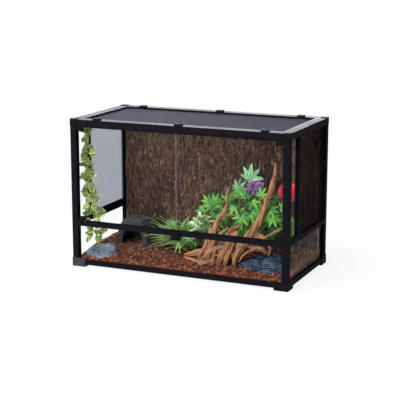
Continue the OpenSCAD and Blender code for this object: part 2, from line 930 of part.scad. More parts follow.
wood_limbs = [
    [[-36, -62, 66, 8], [18, -84, 70, 11], [72, -98, 78, 16], [118, -96, 96, 27]],
    [[104, -92, 92, 29], [150, -86, 104, 32], [196, -82, 92, 22], [214, -92, 62, 12]],
    [[60, -84, 62, 14], [96, -74, 120, 20], [104, -60, 160, 13], [112, -34, 206, 10], [150, -20, 216, 7]],
    [[112, -34, 200, 9], [106, -6, 250, 7], [98, 24, 300, 5]],
    [[150, -80, 118, 20], [176, -60, 158, 13], [196, -44, 190, 8]],
    [[190, -84, 100, 20], [214, -66, 150, 17], [246, -42, 196, 15], [270, -14, 252, 12], [290, 12, 330, 10],
     [306, 30, 392, 7], [314, 40, 428, 5]],
    [[226, -62, 160, 11], [262, -60, 156, 12], [292, -52, 118, 9], [300, -46, 74, 5]],
    [[262, -60, 156, 9], [310, -62, 164, 6], [352, -60, 186, 3.5]]
];

module driftwood() {
    color("#b98458")
        difference() {
            translate([wood_dx, 0, 0])
                for (points = wood_limbs) limb(points);
            translate([wood_dx + 168, -128, 92]) sphere(r = 13, $fn = 12);
            translate([wood_dx + 124, -132, 88]) sphere(r = 9, $fn = 12);
            below_soil();
            slate_rock();
        }
}

// ---------- plants ----------

leaf_t = 1.4;
leaf_step = 0.17;                       // keeps the leaves that share a stalk off one plane

// A flat leaf, widest before its middle, that starts a little behind its stalk
module leaf(l, w) {
    hull() linear_extrude(leaf_t) polygon([[-1, -0.8], [l * 0.42, -w / 2], [l, 0], [l * 0.42, w / 2], [-1, 0.8]]);
}

// A narrow blade in two stretches, the outer one bent down
module blade(l, w, bend) {
    hull() linear_extrude(leaf_t) polygon([[0, -w / 3], [l / 2, -w / 2], [l / 2, w / 2], [0, w / 3]]);
    translate([l / 2 - leaf_t, 0, 0]) rotate([0, bend, 0])
        hull() linear_extrude(leaf_t) polygon([[0, -w / 2], [l / 2, 0], [0, w / 2]]);
}

// Leaflets spread over an arc around a leaf stalk, each a little above the last
module fan(count, l, w, arc, tilt) {
    for (i = [0:count - 1])
        rotate([0, 0, -arc / 2 + arc * i / (count - 1)]) translate([0, 0, leaf_step * i]) rotate([0, tilt, 0])
            leaf(l * (1 - 0.12 * (i % 2)), w);
}

// A stalk between two points, three-sided
module stem(from, to, r = 1.8) {
    hull() {
        translate(from) cylinder(r = r, h = r, center = true, $fn = 3);
        translate(to) cylinder(r = r, h = r, center = true, $fn = 3);
    }
}

vine_top = [left_x + 6, front_y + 66, top_z - 12];
vine_end = 70;                          // the vine's tip hangs this far above the bedding's front
vine_drop = vine_top[2] - soil_z0 - vine_end;
// The vine's stem swings to and fro as it falls; s runs from 0 at the top to 1
function vine_at(s) = [
    vine_top[0] + 5 + 9 * sin(s * 520), vine_top[1] + 10 * sin(s * 410 + 30) - 22 * s, vine_top[2] - vine_drop * s
];

module hanging_vine() {
    turns = rands(0, 360, vine_leaves, 7);
    sizes = rands(24, 40, vine_leaves, 11);
    runs = 12;
    color("#8fae4a")
        intersection() {
            union() {
                translate([left_x, vine_top[1], vine_top[2]]) rotate([0, 90, 0]) cylinder(r = 9, h = 4, $fn = 24);
                for (i = [0:runs - 1]) stem(vine_at(i / runs), vine_at((i + 1) / runs));
                for (i = [0:vine_leaves - 1])
                    translate(vine_at((i + 0.5) / vine_leaves))
                        rotate([0, 0, turns[i]]) rotate([0, 30 + 40 * (i % 3) / 2, 0])
                            leaf(sizes[i], sizes[i] * 0.72);
            }
            box([left_x, front_y + 2, soil_z0], [0, 0, top_z]);
        }
}

grass_at = [-52, 14];

module grass_tuft() {
    lean = rands(8, 62, grass_blades, 3);
    turn = rands(0, 360, grass_blades, 5);
    long = rands(70, 128, grass_blades, 9);
    color("#5c9a3c")
        difference() {
            translate([grass_at[0], grass_at[1], soil_z0 + soil_rise * 0.8])
                for (i = [0:grass_blades - 1])
                    rotate([0, 0, turn[i]]) translate([4 + 10 * (i % 4) / 3, 0, 0]) rotate([0, lean[i] - 90, 0])
                        blade(long[i], 7, 34);
            below_soil();
        }
}

// Palmate leaves on stalks, each [x, y, z, turn, tilt, size]
leafy_leaves = [
    [22, 8, 240, 160, 12, 48], [62, 10, 236, 150, 10, 56], [98, -30, 214, 250, 25, 42],
    [140, 6, 262, 100, 0, 58], [176, -24, 238, 300, 20, 56], [150, -58, 176, 270, 35, 58],
    [210, 0, 276, 40, 5, 44], [236, -20, 226, 320, 25, 52], [264, 34, 300, 10, 0, 48],
    [318, 30, 250, 10, 30, 50], [340, 20, 292, 350, 10, 46], [392, 6, 216, 270, 70, 66]
];
leafy_root = [150, 20];

module leafy_plant() {
    color("#3f9a34")
        translate([wood_dx, 0, 0])
            difference() {
                for (p = leafy_leaves) {
                    stem([p[0], p[1], p[2]], [(p[0] + leafy_root[0]) / 2, (p[1] + leafy_root[1]) / 2, p[2] - 60]);
                    stem([(p[0] + leafy_root[0]) / 2, (p[1] + leafy_root[1]) / 2, p[2] - 60],
                         [leafy_root[0], leafy_root[1], soil_z0 + 20]);
                    translate([p[0], p[1], p[2]]) rotate([0, 0, p[3]]) fan(6, p[5], p[5] * 0.28, 230, p[4]);
                }
                translate([-wood_dx, 0, 0]) below_soil();
            }
}

// Star-shaped clusters of narrow pale leaves, each [x, y, z, size]
pale_clusters = [[186, 62, 352, 62], [138, 44, 300, 48], [22, -40, 184, 34]];

module pale_plant() {
    color("#a9cf86")
        translate([wood_dx, 0, 0])
            difference() {
                for (c = pale_clusters) {
                    stem([c[0], c[1], c[2]], [c[0], c[1] + 10, soil_z0 + 20]);
                    translate([c[0], c[1], c[2]])
                        for (i = [0:8])
                            rotate([0, 0, 40 * i]) translate([0, 0, leaf_step * i])
                                rotate([0, -38 + 26 * (i % 3) + i, 0]) leaf(c[3], 14);
                }
                translate([-wood_dx, 0, 0]) below_soil();
            }
}

// Flower heads of cupped petals, each [x, y, z, size]
module flower_head(p, petals, w) {
    translate([p[0], p[1], p[2]])
        for (i = [0:petals - 1])
            rotate([0, 0, 360 * i / petals]) translate([0, 0, leaf_step * i]) rotate([0, -20 - i, 0])
                leaf(p[3], p[3] * w);
}

module flower_stalk(p, foot) {
    stem([p[0], p[1], p[2]], [foot[0], foot[1], soil_z0 + 20]);
}

purple_heads = [[204, 42, 322, 20], [236, 58, 330, 16], [232, 34, 312, 18]];
red_heads = [[352, 96, 300, 26], [372, 84, 322, 24], [334, 110, 318, 24], [362, 104, 278, 22]];

module purple_flowers() {
    color("#6d2f86")
        translate([wood_dx, 0, 0])
            difference() {
                for (p = purple_heads) {
                    flower_head(p, 6, 0.7);
                    flower_stalk(p, [214, 62]);
                }
                translate([-wood_dx, 0, 0]) below_soil();
            }
}

module red_flower() {
    color("#c4142c")
        translate([wood_dx, 0, 0])
            difference() {
                for (p = red_heads) {
                    flower_head(p, 7, 0.75);
                    flower_stalk(p, [352, 106]);
                }
                translate([-wood_dx, 0, 0]) below_soil();
            }
}

// ---------- nodes ----------

feet();
foot_pads();
post(false, false);  // post_front_left
post(true, false);  // post_front_right
post(false, true);  // post_rear_left
post(true, true);  // post_rear_right
bottom_rail_long(false);  // bottom_rail_front
bottom_rail_long(true);  // bottom_rail_rear
bottom_rail_short(false);  // bottom_rail_left
bottom_rail_short(true);  // bottom_rail_right
top_rail_front();
top_rail_rear();
top_rail_short(false);  // top_rail_left
top_rail_short(true);  // top_rail_right
corner_connectors();
mid_rail_front();
mid_rail_side(false);  // mid_rail_left
mid_rail_side(true);  // mid_rail_right
side_bar(false);  // side_bar_left
side_bar(true);  // side_bar_right
base_pane();
back_pane();
front_lower_pane();
side_lower_panes();
side_front_panes();
vent_frames();
vent_meshes();
port_flange();
port_nut();
port_cap();
lid_frame();
lid_mesh();
lid_spline();
lid_bolt_guides();
lid_keepers();
lid_bolt(-1, false);  // lid_bolt_front_left
lid_bolt(0, false);  // lid_bolt_front_middle
lid_bolt(1, false);  // lid_bolt_front_right
lid_bolt(-1, true);  // lid_bolt_rear_left
lid_bolt(0, true);  // lid_bolt_rear_middle
lid_bolt(1, true);  // lid_bolt_rear_right
door_glass(false);  // left_door_glass
door_pivots(false);  // left_door_pivots
door_glass(true);  // right_door_glass
door_pivots(true);  // right_door_pivots
lock_housing();
lock_knob();
lock_cam();
bedding();
bark_background();
hide_cave();
water_dish();
slate_rock();
driftwood();
hanging_vine();
grass_tuft();
leafy_plant();
pale_plant();
purple_flowers();
red_flower();
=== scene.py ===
import json
import math
import random

import bmesh
import bpy
import numpy as np
from mathutils import Euler, Matrix, Vector, noise


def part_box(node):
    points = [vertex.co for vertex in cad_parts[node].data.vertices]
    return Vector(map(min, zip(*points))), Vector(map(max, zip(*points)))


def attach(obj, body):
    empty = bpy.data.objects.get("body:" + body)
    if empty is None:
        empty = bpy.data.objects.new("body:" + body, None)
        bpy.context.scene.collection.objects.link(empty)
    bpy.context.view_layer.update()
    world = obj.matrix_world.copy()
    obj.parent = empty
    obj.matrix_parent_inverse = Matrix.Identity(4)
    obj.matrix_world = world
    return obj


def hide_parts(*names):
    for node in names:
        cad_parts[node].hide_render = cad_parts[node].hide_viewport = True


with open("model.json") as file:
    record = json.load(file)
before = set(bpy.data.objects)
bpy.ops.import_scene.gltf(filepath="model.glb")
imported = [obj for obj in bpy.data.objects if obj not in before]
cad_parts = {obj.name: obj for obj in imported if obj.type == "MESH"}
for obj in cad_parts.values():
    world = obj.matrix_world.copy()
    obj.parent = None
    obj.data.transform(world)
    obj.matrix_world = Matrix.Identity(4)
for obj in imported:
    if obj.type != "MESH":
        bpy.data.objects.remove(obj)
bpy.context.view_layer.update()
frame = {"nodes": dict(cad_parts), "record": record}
nodes = frame["nodes"]
print("frame loaded,", len(nodes), "nodes")

scene = bpy.context.scene
scene.view_settings.view_transform = "Standard"


# camera, floor and light

cameraSet = {"place": (1.8199, -4.1183, 1.2492), "turn": 0.4161, "down": 0.2161, "lens": 105.4, "reach": 200}
cameraData = bpy.data.cameras.new("photoCamera")
cameraData.lens = cameraSet["lens"]
cameraData.clip_end = cameraSet["reach"]
camera = bpy.data.objects.new("photoCamera", cameraData)
camera.location = cameraSet["place"]
camera.rotation_euler = (math.pi / 2 - cameraSet["down"], 0, cameraSet["turn"])
scene.collection.objects.link(camera)
scene.camera = camera


def rgb(*channels):
    return (*channels, 1)


def addNode(tree, kind, inputs=None, **settings):
    node = tree.nodes.new("ShaderNode" + kind)
    for key, value in settings.items():
        setattr(node, key, value)
    for key, value in (inputs or {}).items():
        if isinstance(value, bpy.types.NodeSocket):
            tree.links.new(value, node.inputs[key])
        else:
            node.inputs[key].default_value = value
    return node


def maths(tree, operation, *terms):
    return addNode(tree, "Math", dict(enumerate(terms)), operation=operation).outputs[0]


def mixColour(tree, share, first, second, blend="MIX"):
    node = addNode(tree, "Mix", {0: share, 6: first, 7: second}, data_type="RGBA", blend_type=blend)
    return node.outputs[2]


def mixShader(tree, share, first, second):
    return addNode(tree, "MixShader", {0: share, 1: first.outputs[0], 2: second.outputs[0]}).outputs[0]


def remap(tree, value, low, high, to=(0, 1)):
    return addNode(tree, "MapRange", {0: value, 1: low, 2: high, 3: to[0], 4: to[1]}).outputs[0]


def objectPlace(tree):
    return addNode(tree, "TexCoord").outputs["Object"]


def axesOf(tree, vector):
    return addNode(tree, "SeparateXYZ", {0: vector}).outputs


def acrossWidth(tree):
    return axesOf(tree, objectPlace(tree))[0]


def facing(tree):
    return axesOf(tree, addNode(tree, "NewGeometry").outputs["Normal"])


def noiseOver(tree, place, scale, detail, **more):
    return addNode(tree, "TexNoise", {"Vector": place, "Scale": scale, "Detail": detail, **more}).outputs[0]


def bumpOf(tree, height, strength, distance, more=None, **settings):
    inputs = {"Strength": strength, "Distance": distance, "Height": height, **(more or {})}
    return addNode(tree, "Bump", inputs, **settings).outputs[0]


def emptyMaterial(name):
    material = bpy.data.materials.new(name)
    material.use_nodes = True
    material.node_tree.nodes.clear()
    return material, material.node_tree


def seenDirectly(tree):
    path = addNode(tree, "LightPath").outputs
    either = maths(tree, "MAXIMUM", path["Is Camera Ray"], path["Is Glossy Ray"])
    return maths(tree, "MAXIMUM", either, path["Is Transmission Ray"])


# the floor keeps a faint shadow near the tank and turns plain white further out
stageSet = {"floorSize": 60, "shadowShare": 0.13, "shadowFrom": 0.5, "shadowTo": 1.0,
            "floorColour": rgb(0.9, 0.9, 0.91), "white": rgb(1, 1, 1)}
floorMesh = bmesh.new()
bmesh.ops.create_grid(floorMesh, x_segments=1, y_segments=1, size=stageSet["floorSize"] / 2)
floorData = bpy.data.meshes.new("studioFloor")
floorMesh.to_mesh(floorData)
floorMesh.free()
studioFloor = bpy.data.objects.new("studioFloor", floorData)
scene.collection.objects.link(studioFloor)
floorMaterial, tree = emptyMaterial("studioWhite")
matt = addNode(tree, "BsdfDiffuse", {"Color": stageSet["floorColour"]})
glow = addNode(tree, "Emission", {"Color": stageSet["white"], "Strength": 1})
away = addNode(tree, "VectorMath", {0: objectPlace(tree)}, operation="LENGTH").outputs["Value"]
clear = remap(tree, away, stageSet["shadowFrom"], stageSet["shadowTo"], (1 - stageSet["shadowShare"], 1))
mixed = mixShader(tree, maths(tree, "MULTIPLY", seenDirectly(tree), clear), matt, glow)
addNode(tree, "OutputMaterial", {"Surface": mixed})
floorData.materials.append(floorMaterial)

worldSet = {"strength": 0.24, "colour": rgb(0.97, 0.98, 1.0)}
world = bpy.data.worlds.new("studioWorld")
world.use_nodes = True
world.node_tree.nodes.clear()
tree = world.node_tree
dim = addNode(tree, "Background", {"Color": worldSet["colour"], "Strength": worldSet["strength"]})
white = addNode(tree, "Background", {"Color": stageSet["white"], "Strength": 1})
addNode(tree, "OutputWorld", {"Surface": mixShader(tree, seenDirectly(tree), dim, white)})
scene.world = world

lampSet = {
    "topPanel": {"at": (-0.5, -0.7, 2.5), "to": (0, 0, 0.3), "size": (2.0, 1.6), "power": 84},
    "frontPanel": {"at": (-0.9, -3.3, 1.6), "to": (0, 0, 0.25), "size": (2.2, 1.5), "power": 96},
    "leftPanel": {"at": (-2.8, -0.6, 1.3), "to": (-0.2, 0, 0.3), "size": (1.5, 1.5), "power": 52,
                  "colour": (0.74, 0.84, 1)},
    "backPanel": {"at": (-1.6, 4.0, 1.3), "to": (0, 0, 0.58), "size": (2.8, 0.8), "power": 50,
                  "colour": (0.93, 0.91, 1)},
}
for name, lamp in lampSet.items():
    data = bpy.data.lights.new(name, "AREA")
    data.shape = "RECTANGLE"
    data.size, data.size_y = lamp["size"]
    data.energy = lamp["power"]
    data.color = lamp.get("colour", (1, 1, 1))
    panel = bpy.data.objects.new(name, data)
    panel.location = lamp["at"]
    panel.rotation_euler = (Vector(lamp["to"]) - Vector(lamp["at"])).to_track_quat("-Z", "Y").to_euler()
    panel.visible_camera = False
    panel.visible_transmission = False
    scene.collection.objects.link(panel)
print("stage and lights ready")


# shared shader effects; the values given here are the sockets' defaults, and each material sets its own

def newGroup(name, inputs, outputs):
    group = bpy.data.node_groups.new(name, "ShaderNodeTree")
    for label, (kind, value) in inputs.items():
        socket = group.interface.new_socket(name=label, in_out="INPUT", socket_type="NodeSocket" + kind)
        socket.default_value = value
    for label, kind in outputs.items():
        group.interface.new_socket(name=label, in_out="OUTPUT", socket_type="NodeSocket" + kind)
    return group, group.nodes.new("NodeGroupInput").outputs, group.nodes.new("NodeGroupOutput").inputs


def useGroup(tree, group, **values):
    return addNode(tree, "Group", values, node_tree=group).outputs


# patches, fine fibres and pits over a natural or cast surface
weathered, given, made = newGroup(
    "weathered",
    {"Colour": ("Color", rgb(0.5, 0.5, 0.5)), "Light": ("Color", rgb(0.8, 0.8, 0.8)),
     "Dark": ("Color", rgb(0.1, 0.1, 0.1)), "Scale": ("Float", 20), "Stretch": ("Vector", (1, 1, 1)),
     "Streaks": ("Float", 0.5), "Pits": ("Float", 0.3), "Relief": ("Float", 0.4)},
    {"Colour": "Color", "Mask": "Float", "Normal": "Vector"},
)
weatherStep = {"fibres": 5.3, "pits": 2.6, "depth": 0.004}  # how much finer than the patches, and the relief
spread = addNode(weathered, "VectorMath", {0: objectPlace(weathered), 1: given["Stretch"]},
                 operation="MULTIPLY").outputs[0]
coarse = noiseOver(weathered, spread, given["Scale"], 6, Roughness=0.62, Distortion=0.6)
fineScale = maths(weathered, "MULTIPLY", given["Scale"], weatherStep["fibres"])
fine = noiseOver(weathered, spread, fineScale, 4, Roughness=0.7)
pitScale = maths(weathered, "MULTIPLY", given["Scale"], weatherStep["pits"])
pits = addNode(weathered, "TexVoronoi", {"Vector": spread, "Scale": pitScale, "Randomness": 1})
pitMask = remap(weathered, pits.outputs["Distance"], 0.32, 0.05)
pitShare = maths(weathered, "MULTIPLY", pitMask, given["Pits"])
patched = mixColour(weathered, remap(weathered, coarse, 0.36, 0.62), given["Dark"], given["Colour"])
streak = maths(weathered, "MULTIPLY", remap(weathered, fine, 0.5, 0.72), given["Streaks"])
lit = mixColour(weathered, streak, patched, given["Light"])
height = maths(weathered, "SUBTRACT", maths(weathered, "ADD", coarse, fine), pitShare)
weathered.links.new(mixColour(weathered, pitShare, lit, given["Dark"]), made["Colour"])
weathered.links.new(fine, made["Mask"])
weathered.links.new(bumpOf(weathered, height, given["Relief"], weatherStep["depth"]), made["Normal"])

# the fine orange peel of paint and moulded plastic, with a faint uneven bloom
skin, given, made = newGroup(
    "skin",
    {"Colour": ("Color", rgb(0.02, 0.02, 0.02)), "Bloom": ("Color", rgb(0.05, 0.05, 0.06)),
     "Grain": ("Float", 700), "Relief": ("Float", 0.1), "Gloss": ("Float", 0.4)},
    {"Colour": "Color", "Roughness": "Float", "Normal": "Vector"},
)
skinStep = {"cloud": 9, "bloom": 0.5, "uneven": 0.06, "depth": 0.0004}
place = objectPlace(skin)
grain = noiseOver(skin, place, given["Grain"], 3, Roughness=0.6)
cloud = noiseOver(skin, place, skinStep["cloud"], 5, Roughness=0.6)
bloomShare = remap(skin, cloud, 0.45, 0.8, (0, skinStep["bloom"]))
uneven = remap(skin, cloud, 0.3, 0.7, (-skinStep["uneven"], skinStep["uneven"]))
skin.links.new(mixColour(skin, bloomShare, given["Colour"], given["Bloom"]), made["Colour"])
skin.links.new(maths(skin, "ADD", given["Gloss"], uneven), made["Roughness"])
skin.links.new(bumpOf(skin, grain, given["Relief"], skinStep["depth"]), made["Normal"])

# midrib, side veins and a paler rim, laid along a leaf's own map
veined, given, made = newGroup(
    "veined",
    {"Blade": ("Color", rgb(0.1, 0.4, 0.05)), "Rim": ("Color", rgb(0.3, 0.5, 0.1)),
     "Vein": ("Color", rgb(0.5, 0.7, 0.2)), "Veins": ("Float", 9), "Blotch": ("Float", 0.4),
     "RimWidth": ("Float", 0.3)},
    {"Colour": "Color", "Mask": "Float", "Normal": "Vector"},
)
veinStep = {"midrib": 0.05, "side": 0.14, "slant": -0.8, "blotches": 95, "relief": 0.5, "depth": 0.0008}
flat = axesOf(veined, addNode(veined, "UVMap").outputs[0])
across = maths(veined, "ABSOLUTE", maths(veined, "SUBTRACT", flat[0], 0.5))
midrib = remap(veined, across, veinStep["midrib"], 0.0)
slant = maths(veined, "MULTIPLY_ADD", across, veinStep["slant"], flat[1])
waves = maths(veined, "PINGPONG", maths(veined, "MULTIPLY", slant, given["Veins"]), 1)
sideVein = remap(veined, waves, veinStep["side"], 0.0, (0, 0.7))
veinMask = maths(veined, "MAXIMUM", midrib, sideVein)
blotch = noiseOver(veined, objectPlace(veined), veinStep["blotches"], 3)
shift = maths(veined, "MULTIPLY", remap(veined, blotch, 0.35, 0.65, (-0.5, 0.5)), given["Blotch"])
rimStart = maths(veined, "SUBTRACT", 0.5, given["RimWidth"])
rimShare = remap(veined, maths(veined, "ADD", across, shift), rimStart, 0.5)
leafTone = mixColour(veined, rimShare, given["Blade"], given["Rim"])
veined.links.new(mixColour(veined, veinMask, leafTone, given["Vein"]), made["Colour"])
veined.links.new(veinMask, made["Mask"])
veined.links.new(bumpOf(veined, veinMask, veinStep["relief"], veinStep["depth"], invert=True), made["Normal"])


finishes = {}


def finishMaterial(slot, material, colour, roughness, normal, plain=None):
    inputs = {"Base Color": colour, "Roughness": roughness, "Normal": normal, **(plain or {})}
    shader = addNode(material.node_tree, "BsdfPrincipled", inputs)
    addNode(material.node_tree, "OutputMaterial", {"Surface": shader.outputs[0]})
    finishes[slot] = material


# paints and plastics; polish is the clear coat on what faces up, at the tank's left end and its right
powder = {"colour": rgb(0.0064, 0.0058, 0.0085), "bloom": rgb(0.012, 0.011, 0.0155), "grain": 650,
          "relief": 0.16, "gloss": 0.27, "plain": {"Specular IOR Level": 0.002}}
moulded = {"grain": 900, "relief": 0.3, "gloss": 0.36, "polish": (0.02, 0.04),
           "plain": {"Specular IOR Level": 0.004}}
wirePaint = {"grain": 400, "relief": 0.1, "gloss": 0.45, "plain": {"Specular IOR Level": 0.004}}
skinSet = {
    "frame_black": {"name": "powderCoat", "polish": (0.02, 0.045), **powder},
    "lid_gloss": {"name": "lidPaint", "polish": (0.035, 0.1), **powder},
    "rail_gloss": {"name": "railPaint", "polish": (0.9, 0.5), **powder},
    "moulded_black": {"name": "mouldedBlack", "colour": rgb(0.0058, 0.0054, 0.007),
                      "bloom": rgb(0.0115, 0.011, 0.0135), **moulded},
    "foot_black": {"name": "footPlastic", "colour": rgb(0.034, 0.031, 0.038),
                   "bloom": rgb(0.05, 0.046, 0.056), **moulded},
    "pad_rubber": {"name": "padRubber", "colour": rgb(0.02, 0.02, 0.021), "bloom": rgb(0.04, 0.04, 0.04),
                   "grain": 500, "relief": 0.4, "gloss": 0.75, "plain": {"Specular IOR Level": 0.1}},
    "bolt_grey": {"name": "boltPlastic", "colour": rgb(0.014, 0.013, 0.018), "bloom": rgb(0.03, 0.028, 0.038),
                  "grain": 900, "relief": 0.25, "gloss": 0.34, "polish": (0.02, 0.04),
                  "plain": {"Specular IOR Level": 0.01}},
    "mesh_wire": {"name": "wirePaint", "colour": rgb(0.0065, 0.0045, 0.0048),
                  "bloom": rgb(0.01, 0.007, 0.008), **wirePaint},
    # painted light: the lid's wire takes a much paler, purple-grey copy of the vents' black wire paint, where
    # the light from above falls on it
    "lit_lid_wire": {"name": "litLidWirePaint", "colour": rgb(0.1, 0.088, 0.122),
                 "bloom": rgb(0.115, 0.1, 0.14), **wirePaint},
    "lock_metal": {"name": "lockPlate", "colour": rgb(0.4, 0.4, 0.42), "bloom": rgb(0.55, 0.55, 0.57),
                   "grain": 800, "relief": 0.12, "gloss": 0.28, "plain": {"Metallic": 1.0}},
}
# painted light and shade: a second tone that comes in between two places along the tank's width, where the
# light falls unevenly
sideLightTones = {
    "mesh_wire": (0.25, -0.4, rgb(0.078, 0.108, 0.2)),  # painted light: bluer and paler towards the left, where the vent is lit from behind
    "lit_lid_wire": (0.3, -0.2, rgb(0.145, 0.13, 0.175)),  # painted light: paler towards the left, where more light falls on the lid
    "foot_black": (-0.3, 0.3, rgb(0.0075, 0.007, 0.0085)),  # the right-hand feet stand in the dark
}
coatSet = {"flat": 0.7, "level": 0.95, "left": -0.45, "right": 0.45, "roughness": 0.16}
for slot, look in skinSet.items():
    material, tree = emptyMaterial(look["name"])
    out = useGroup(tree, skin, Colour=look["colour"], Bloom=look["bloom"], Grain=look["grain"],
                   Relief=look["relief"], Gloss=look["gloss"])
    tone = out["Colour"]
    plain = dict(look["plain"])
    # painted light and shade along the tank's width
    if slot in sideLightTones:
        start, end, second = sideLightTones[slot]
        tone = mixColour(tree, remap(tree, acrossWidth(tree), start, end), tone, second)
    if "polish" in look:
        up = remap(tree, facing(tree)[2], coatSet["flat"], coatSet["level"])
        strength = remap(tree, acrossWidth(tree), coatSet["left"], coatSet["right"], look["polish"])
        plain["Coat Weight"] = maths(tree, "MULTIPLY", up, strength)
        plain["Coat Roughness"] = coatSet["roughness"]
    finishMaterial(slot, material, tone, out["Roughness"], out["Normal"], plain)

# natural and cast surfaces
weatherSet = {
    "bedding": {"name": "barkChips", "colour": rgb(0.105, 0.022, 0.012), "light": rgb(0.46, 0.15, 0.07),
                "dark": rgb(0.012, 0.003, 0.002), "scale": 80, "stretch": (1, 1, 1), "streaks": 0.6,
                "pits": 0.3, "relief": 0.8, "rough": (0.75, 0.95)},
    "bark": {"name": "barkPanel", "colour": rgb(0.1, 0.044, 0.027), "light": rgb(0.44, 0.25, 0.16),
             "dark": rgb(0.011, 0.0048, 0.0036), "scale": 46, "stretch": (1, 1, 0.42), "streaks": 0.75,
             "pits": 0.8, "relief": 0.95, "rough": (0.75, 0.95)},
    "cave_resin": {"name": "caveStone", "colour": rgb(0.046, 0.038, 0.042), "light": rgb(0.15, 0.13, 0.14),
                   "dark": rgb(0.0075, 0.0052, 0.006), "scale": 40, "stretch": (1, 1, 2.2), "streaks": 0.5,
                   "pits": 0.5, "relief": 0.8, "rough": (0.6, 0.85)},
    "dish_resin": {"name": "dishStone", "colour": rgb(0.17, 0.2, 0.265), "light": rgb(0.34, 0.38, 0.46),
                   "dark": rgb(0.055, 0.07, 0.105), "scale": 44, "stretch": (1, 1, 1.6), "streaks": 0.5,
                   "pits": 0.35, "relief": 0.6, "rough": (0.45, 0.7)},
    "slate": {"name": "slateStone", "colour": rgb(0.007, 0.014, 0.031), "light": rgb(0.16, 0.225, 0.35),
              "dark": rgb(0.0012, 0.0024, 0.006), "scale": 17, "stretch": (0.13, 2.6, 5.0), "streaks": 0.5,
              "pits": 0.2, "relief": 0.8, "rough": (0.5, 0.75), "plain": {"Specular IOR Level": 0.15}},
}


# each chip has a tone of its own, the front is brighter and more orange as painted light, where the light
# falls in through the doors, and the side walls show packed chips
chipTones = {"bright": rgb(0.5, 0.18, 0.085), "dark": rgb(0.016, 0.0045, 0.0038),
             "front": rgb(0.86, 0.66, 0.44), "packed": rgb(0.16, 0.05, 0.026),
             "gaps": rgb(0.012, 0.004, 0.003), "packedScale": 130}


def beddingTone(tree, tone):
    lot = addNode(tree, "NewGeometry").outputs["Random Per Island"]
    tone = mixColour(tree, remap(tree, lot, 0.66, 1.0, (0, 0.95)), tone, chipTones["bright"])
    tone = mixColour(tree, remap(tree, lot, 0.5, 0.1, (0, 0.92)), tone, chipTones["dark"])
    place = objectPlace(tree)
    # painted light: brighter and more orange towards the front
    frontLightShare = remap(tree, axesOf(tree, place)[1], -0.08, -0.2, (0, 0.8))
    tone = mixColour(tree, frontLightShare, tone, chipTones["front"], "OVERLAY")
    sideways = maths(tree, "ABSOLUTE", facing(tree)[0])
    packed = addNode(tree, "TexVoronoi", {"Vector": place, "Scale": chipTones["packedScale"]})
    gapShare = remap(tree, packed.outputs["Distance"], 0.25, 0.6)
    packedTone = mixColour(tree, gapShare, chipTones["packed"], chipTones["gaps"])
    return mixColour(tree, remap(tree, sideways, 0.97, 0.99), tone, packedTone)


# worn plates are paler, and whole areas are darker
wornSet = {"tone": rgb(0.37, 0.22, 0.14), "areas": 7, "plates": 75, "stretch": (1, 1, 0.45)}


def barkTone(tree, tone, dark):
    wide = noiseOver(tree, objectPlace(tree), wornSet["areas"], 3)
    tone = mixColour(tree, remap(tree, wide, 0.5, 0.38, (0, 0.6)), tone, dark)
    long = addNode(tree, "Mapping", {"Vector": objectPlace(tree), "Scale": wornSet["stretch"]}).outputs[0]
    worn = noiseOver(tree, long, wornSet["plates"], 5, Roughness=0.7)
    tone = mixColour(tree, remap(tree, worn, 0.56, 0.66, (0, 0.75)), tone, wornSet["tone"])
    return mixColour(tree, remap(tree, worn, 0.46, 0.36, (0, 0.8)), tone, dark)


# the broken edges of the ledges catch the light in patches
ledgeSet = {"patches": 34, "flat": 0.85, "steep": 0.45, "light": 0.5}


def ledgeTone(tree, tone, light):
    patchy = remap(tree, noiseOver(tree, objectPlace(tree), ledgeSet["patches"], 2), 0.4, 0.6)
    steep = remap(tree, facing(tree)[2], ledgeSet["flat"], ledgeSet["steep"], (0, ledgeSet["light"]))
    return mixColour(tree, maths(tree, "MULTIPLY", steep, patchy), tone, light)


for slot, look in weatherSet.items():
    material, tree = emptyMaterial(look["name"])
    out = useGroup(tree, weathered, Colour=look["colour"], Light=look["light"], Dark=look["dark"],
                   Scale=look["scale"], Stretch=look["stretch"], Streaks=look["streaks"], Pits=look["pits"],
                   Relief=look["relief"])
    tone = out["Colour"]
    if slot == "bedding":
        tone = beddingTone(tree, tone)
    if slot == "bark":
        tone = barkTone(tree, tone, look["dark"])
    if slot in ("slate", "dish_resin"):
        tone = ledgeTone(tree, tone, look["light"])
    roughness = remap(tree, out["Mask"], 0.3, 0.7, look["rough"])
    finishMaterial(slot, material, tone, roughness, out["Normal"], look.get("plain"))

# driftwood: the fibres follow each limb's own map, and the crevices between limbs and the deep grooves are
# darkened as painted shade
woodSet = {"colour": rgb(0.4, 0.145, 0.052), "light": rgb(0.8, 0.43, 0.22), "dark": rgb(0.075, 0.021, 0.008),
           "creviceShade": rgb(0.018, 0.006, 0.004), "strands": 5.0, "scale": 26, "stretch": (1, 1, 0.6),
           "relief": 0.7, "depth": 0.003}
material, tree = emptyMaterial("weatheredWood")
fibres = addNode(tree, "Attribute", attribute_name="fibre").outputs["Vector"]
strands = noiseOver(tree, fibres, woodSet["strands"], 7, Roughness=0.66, Distortion=0.8)
out = useGroup(tree, weathered, Colour=woodSet["colour"], Light=woodSet["light"], Dark=woodSet["dark"],
               Scale=woodSet["scale"], Stretch=woodSet["stretch"], Streaks=0.5, Pits=0.3, Relief=0.4)
tone = mixColour(tree, remap(tree, strands, 0.4, 0.68, (0, 0.65)), out["Colour"], woodSet["light"])
tone = mixColour(tree, remap(tree, strands, 0.48, 0.36, (0, 0.8)), tone, woodSet["dark"])
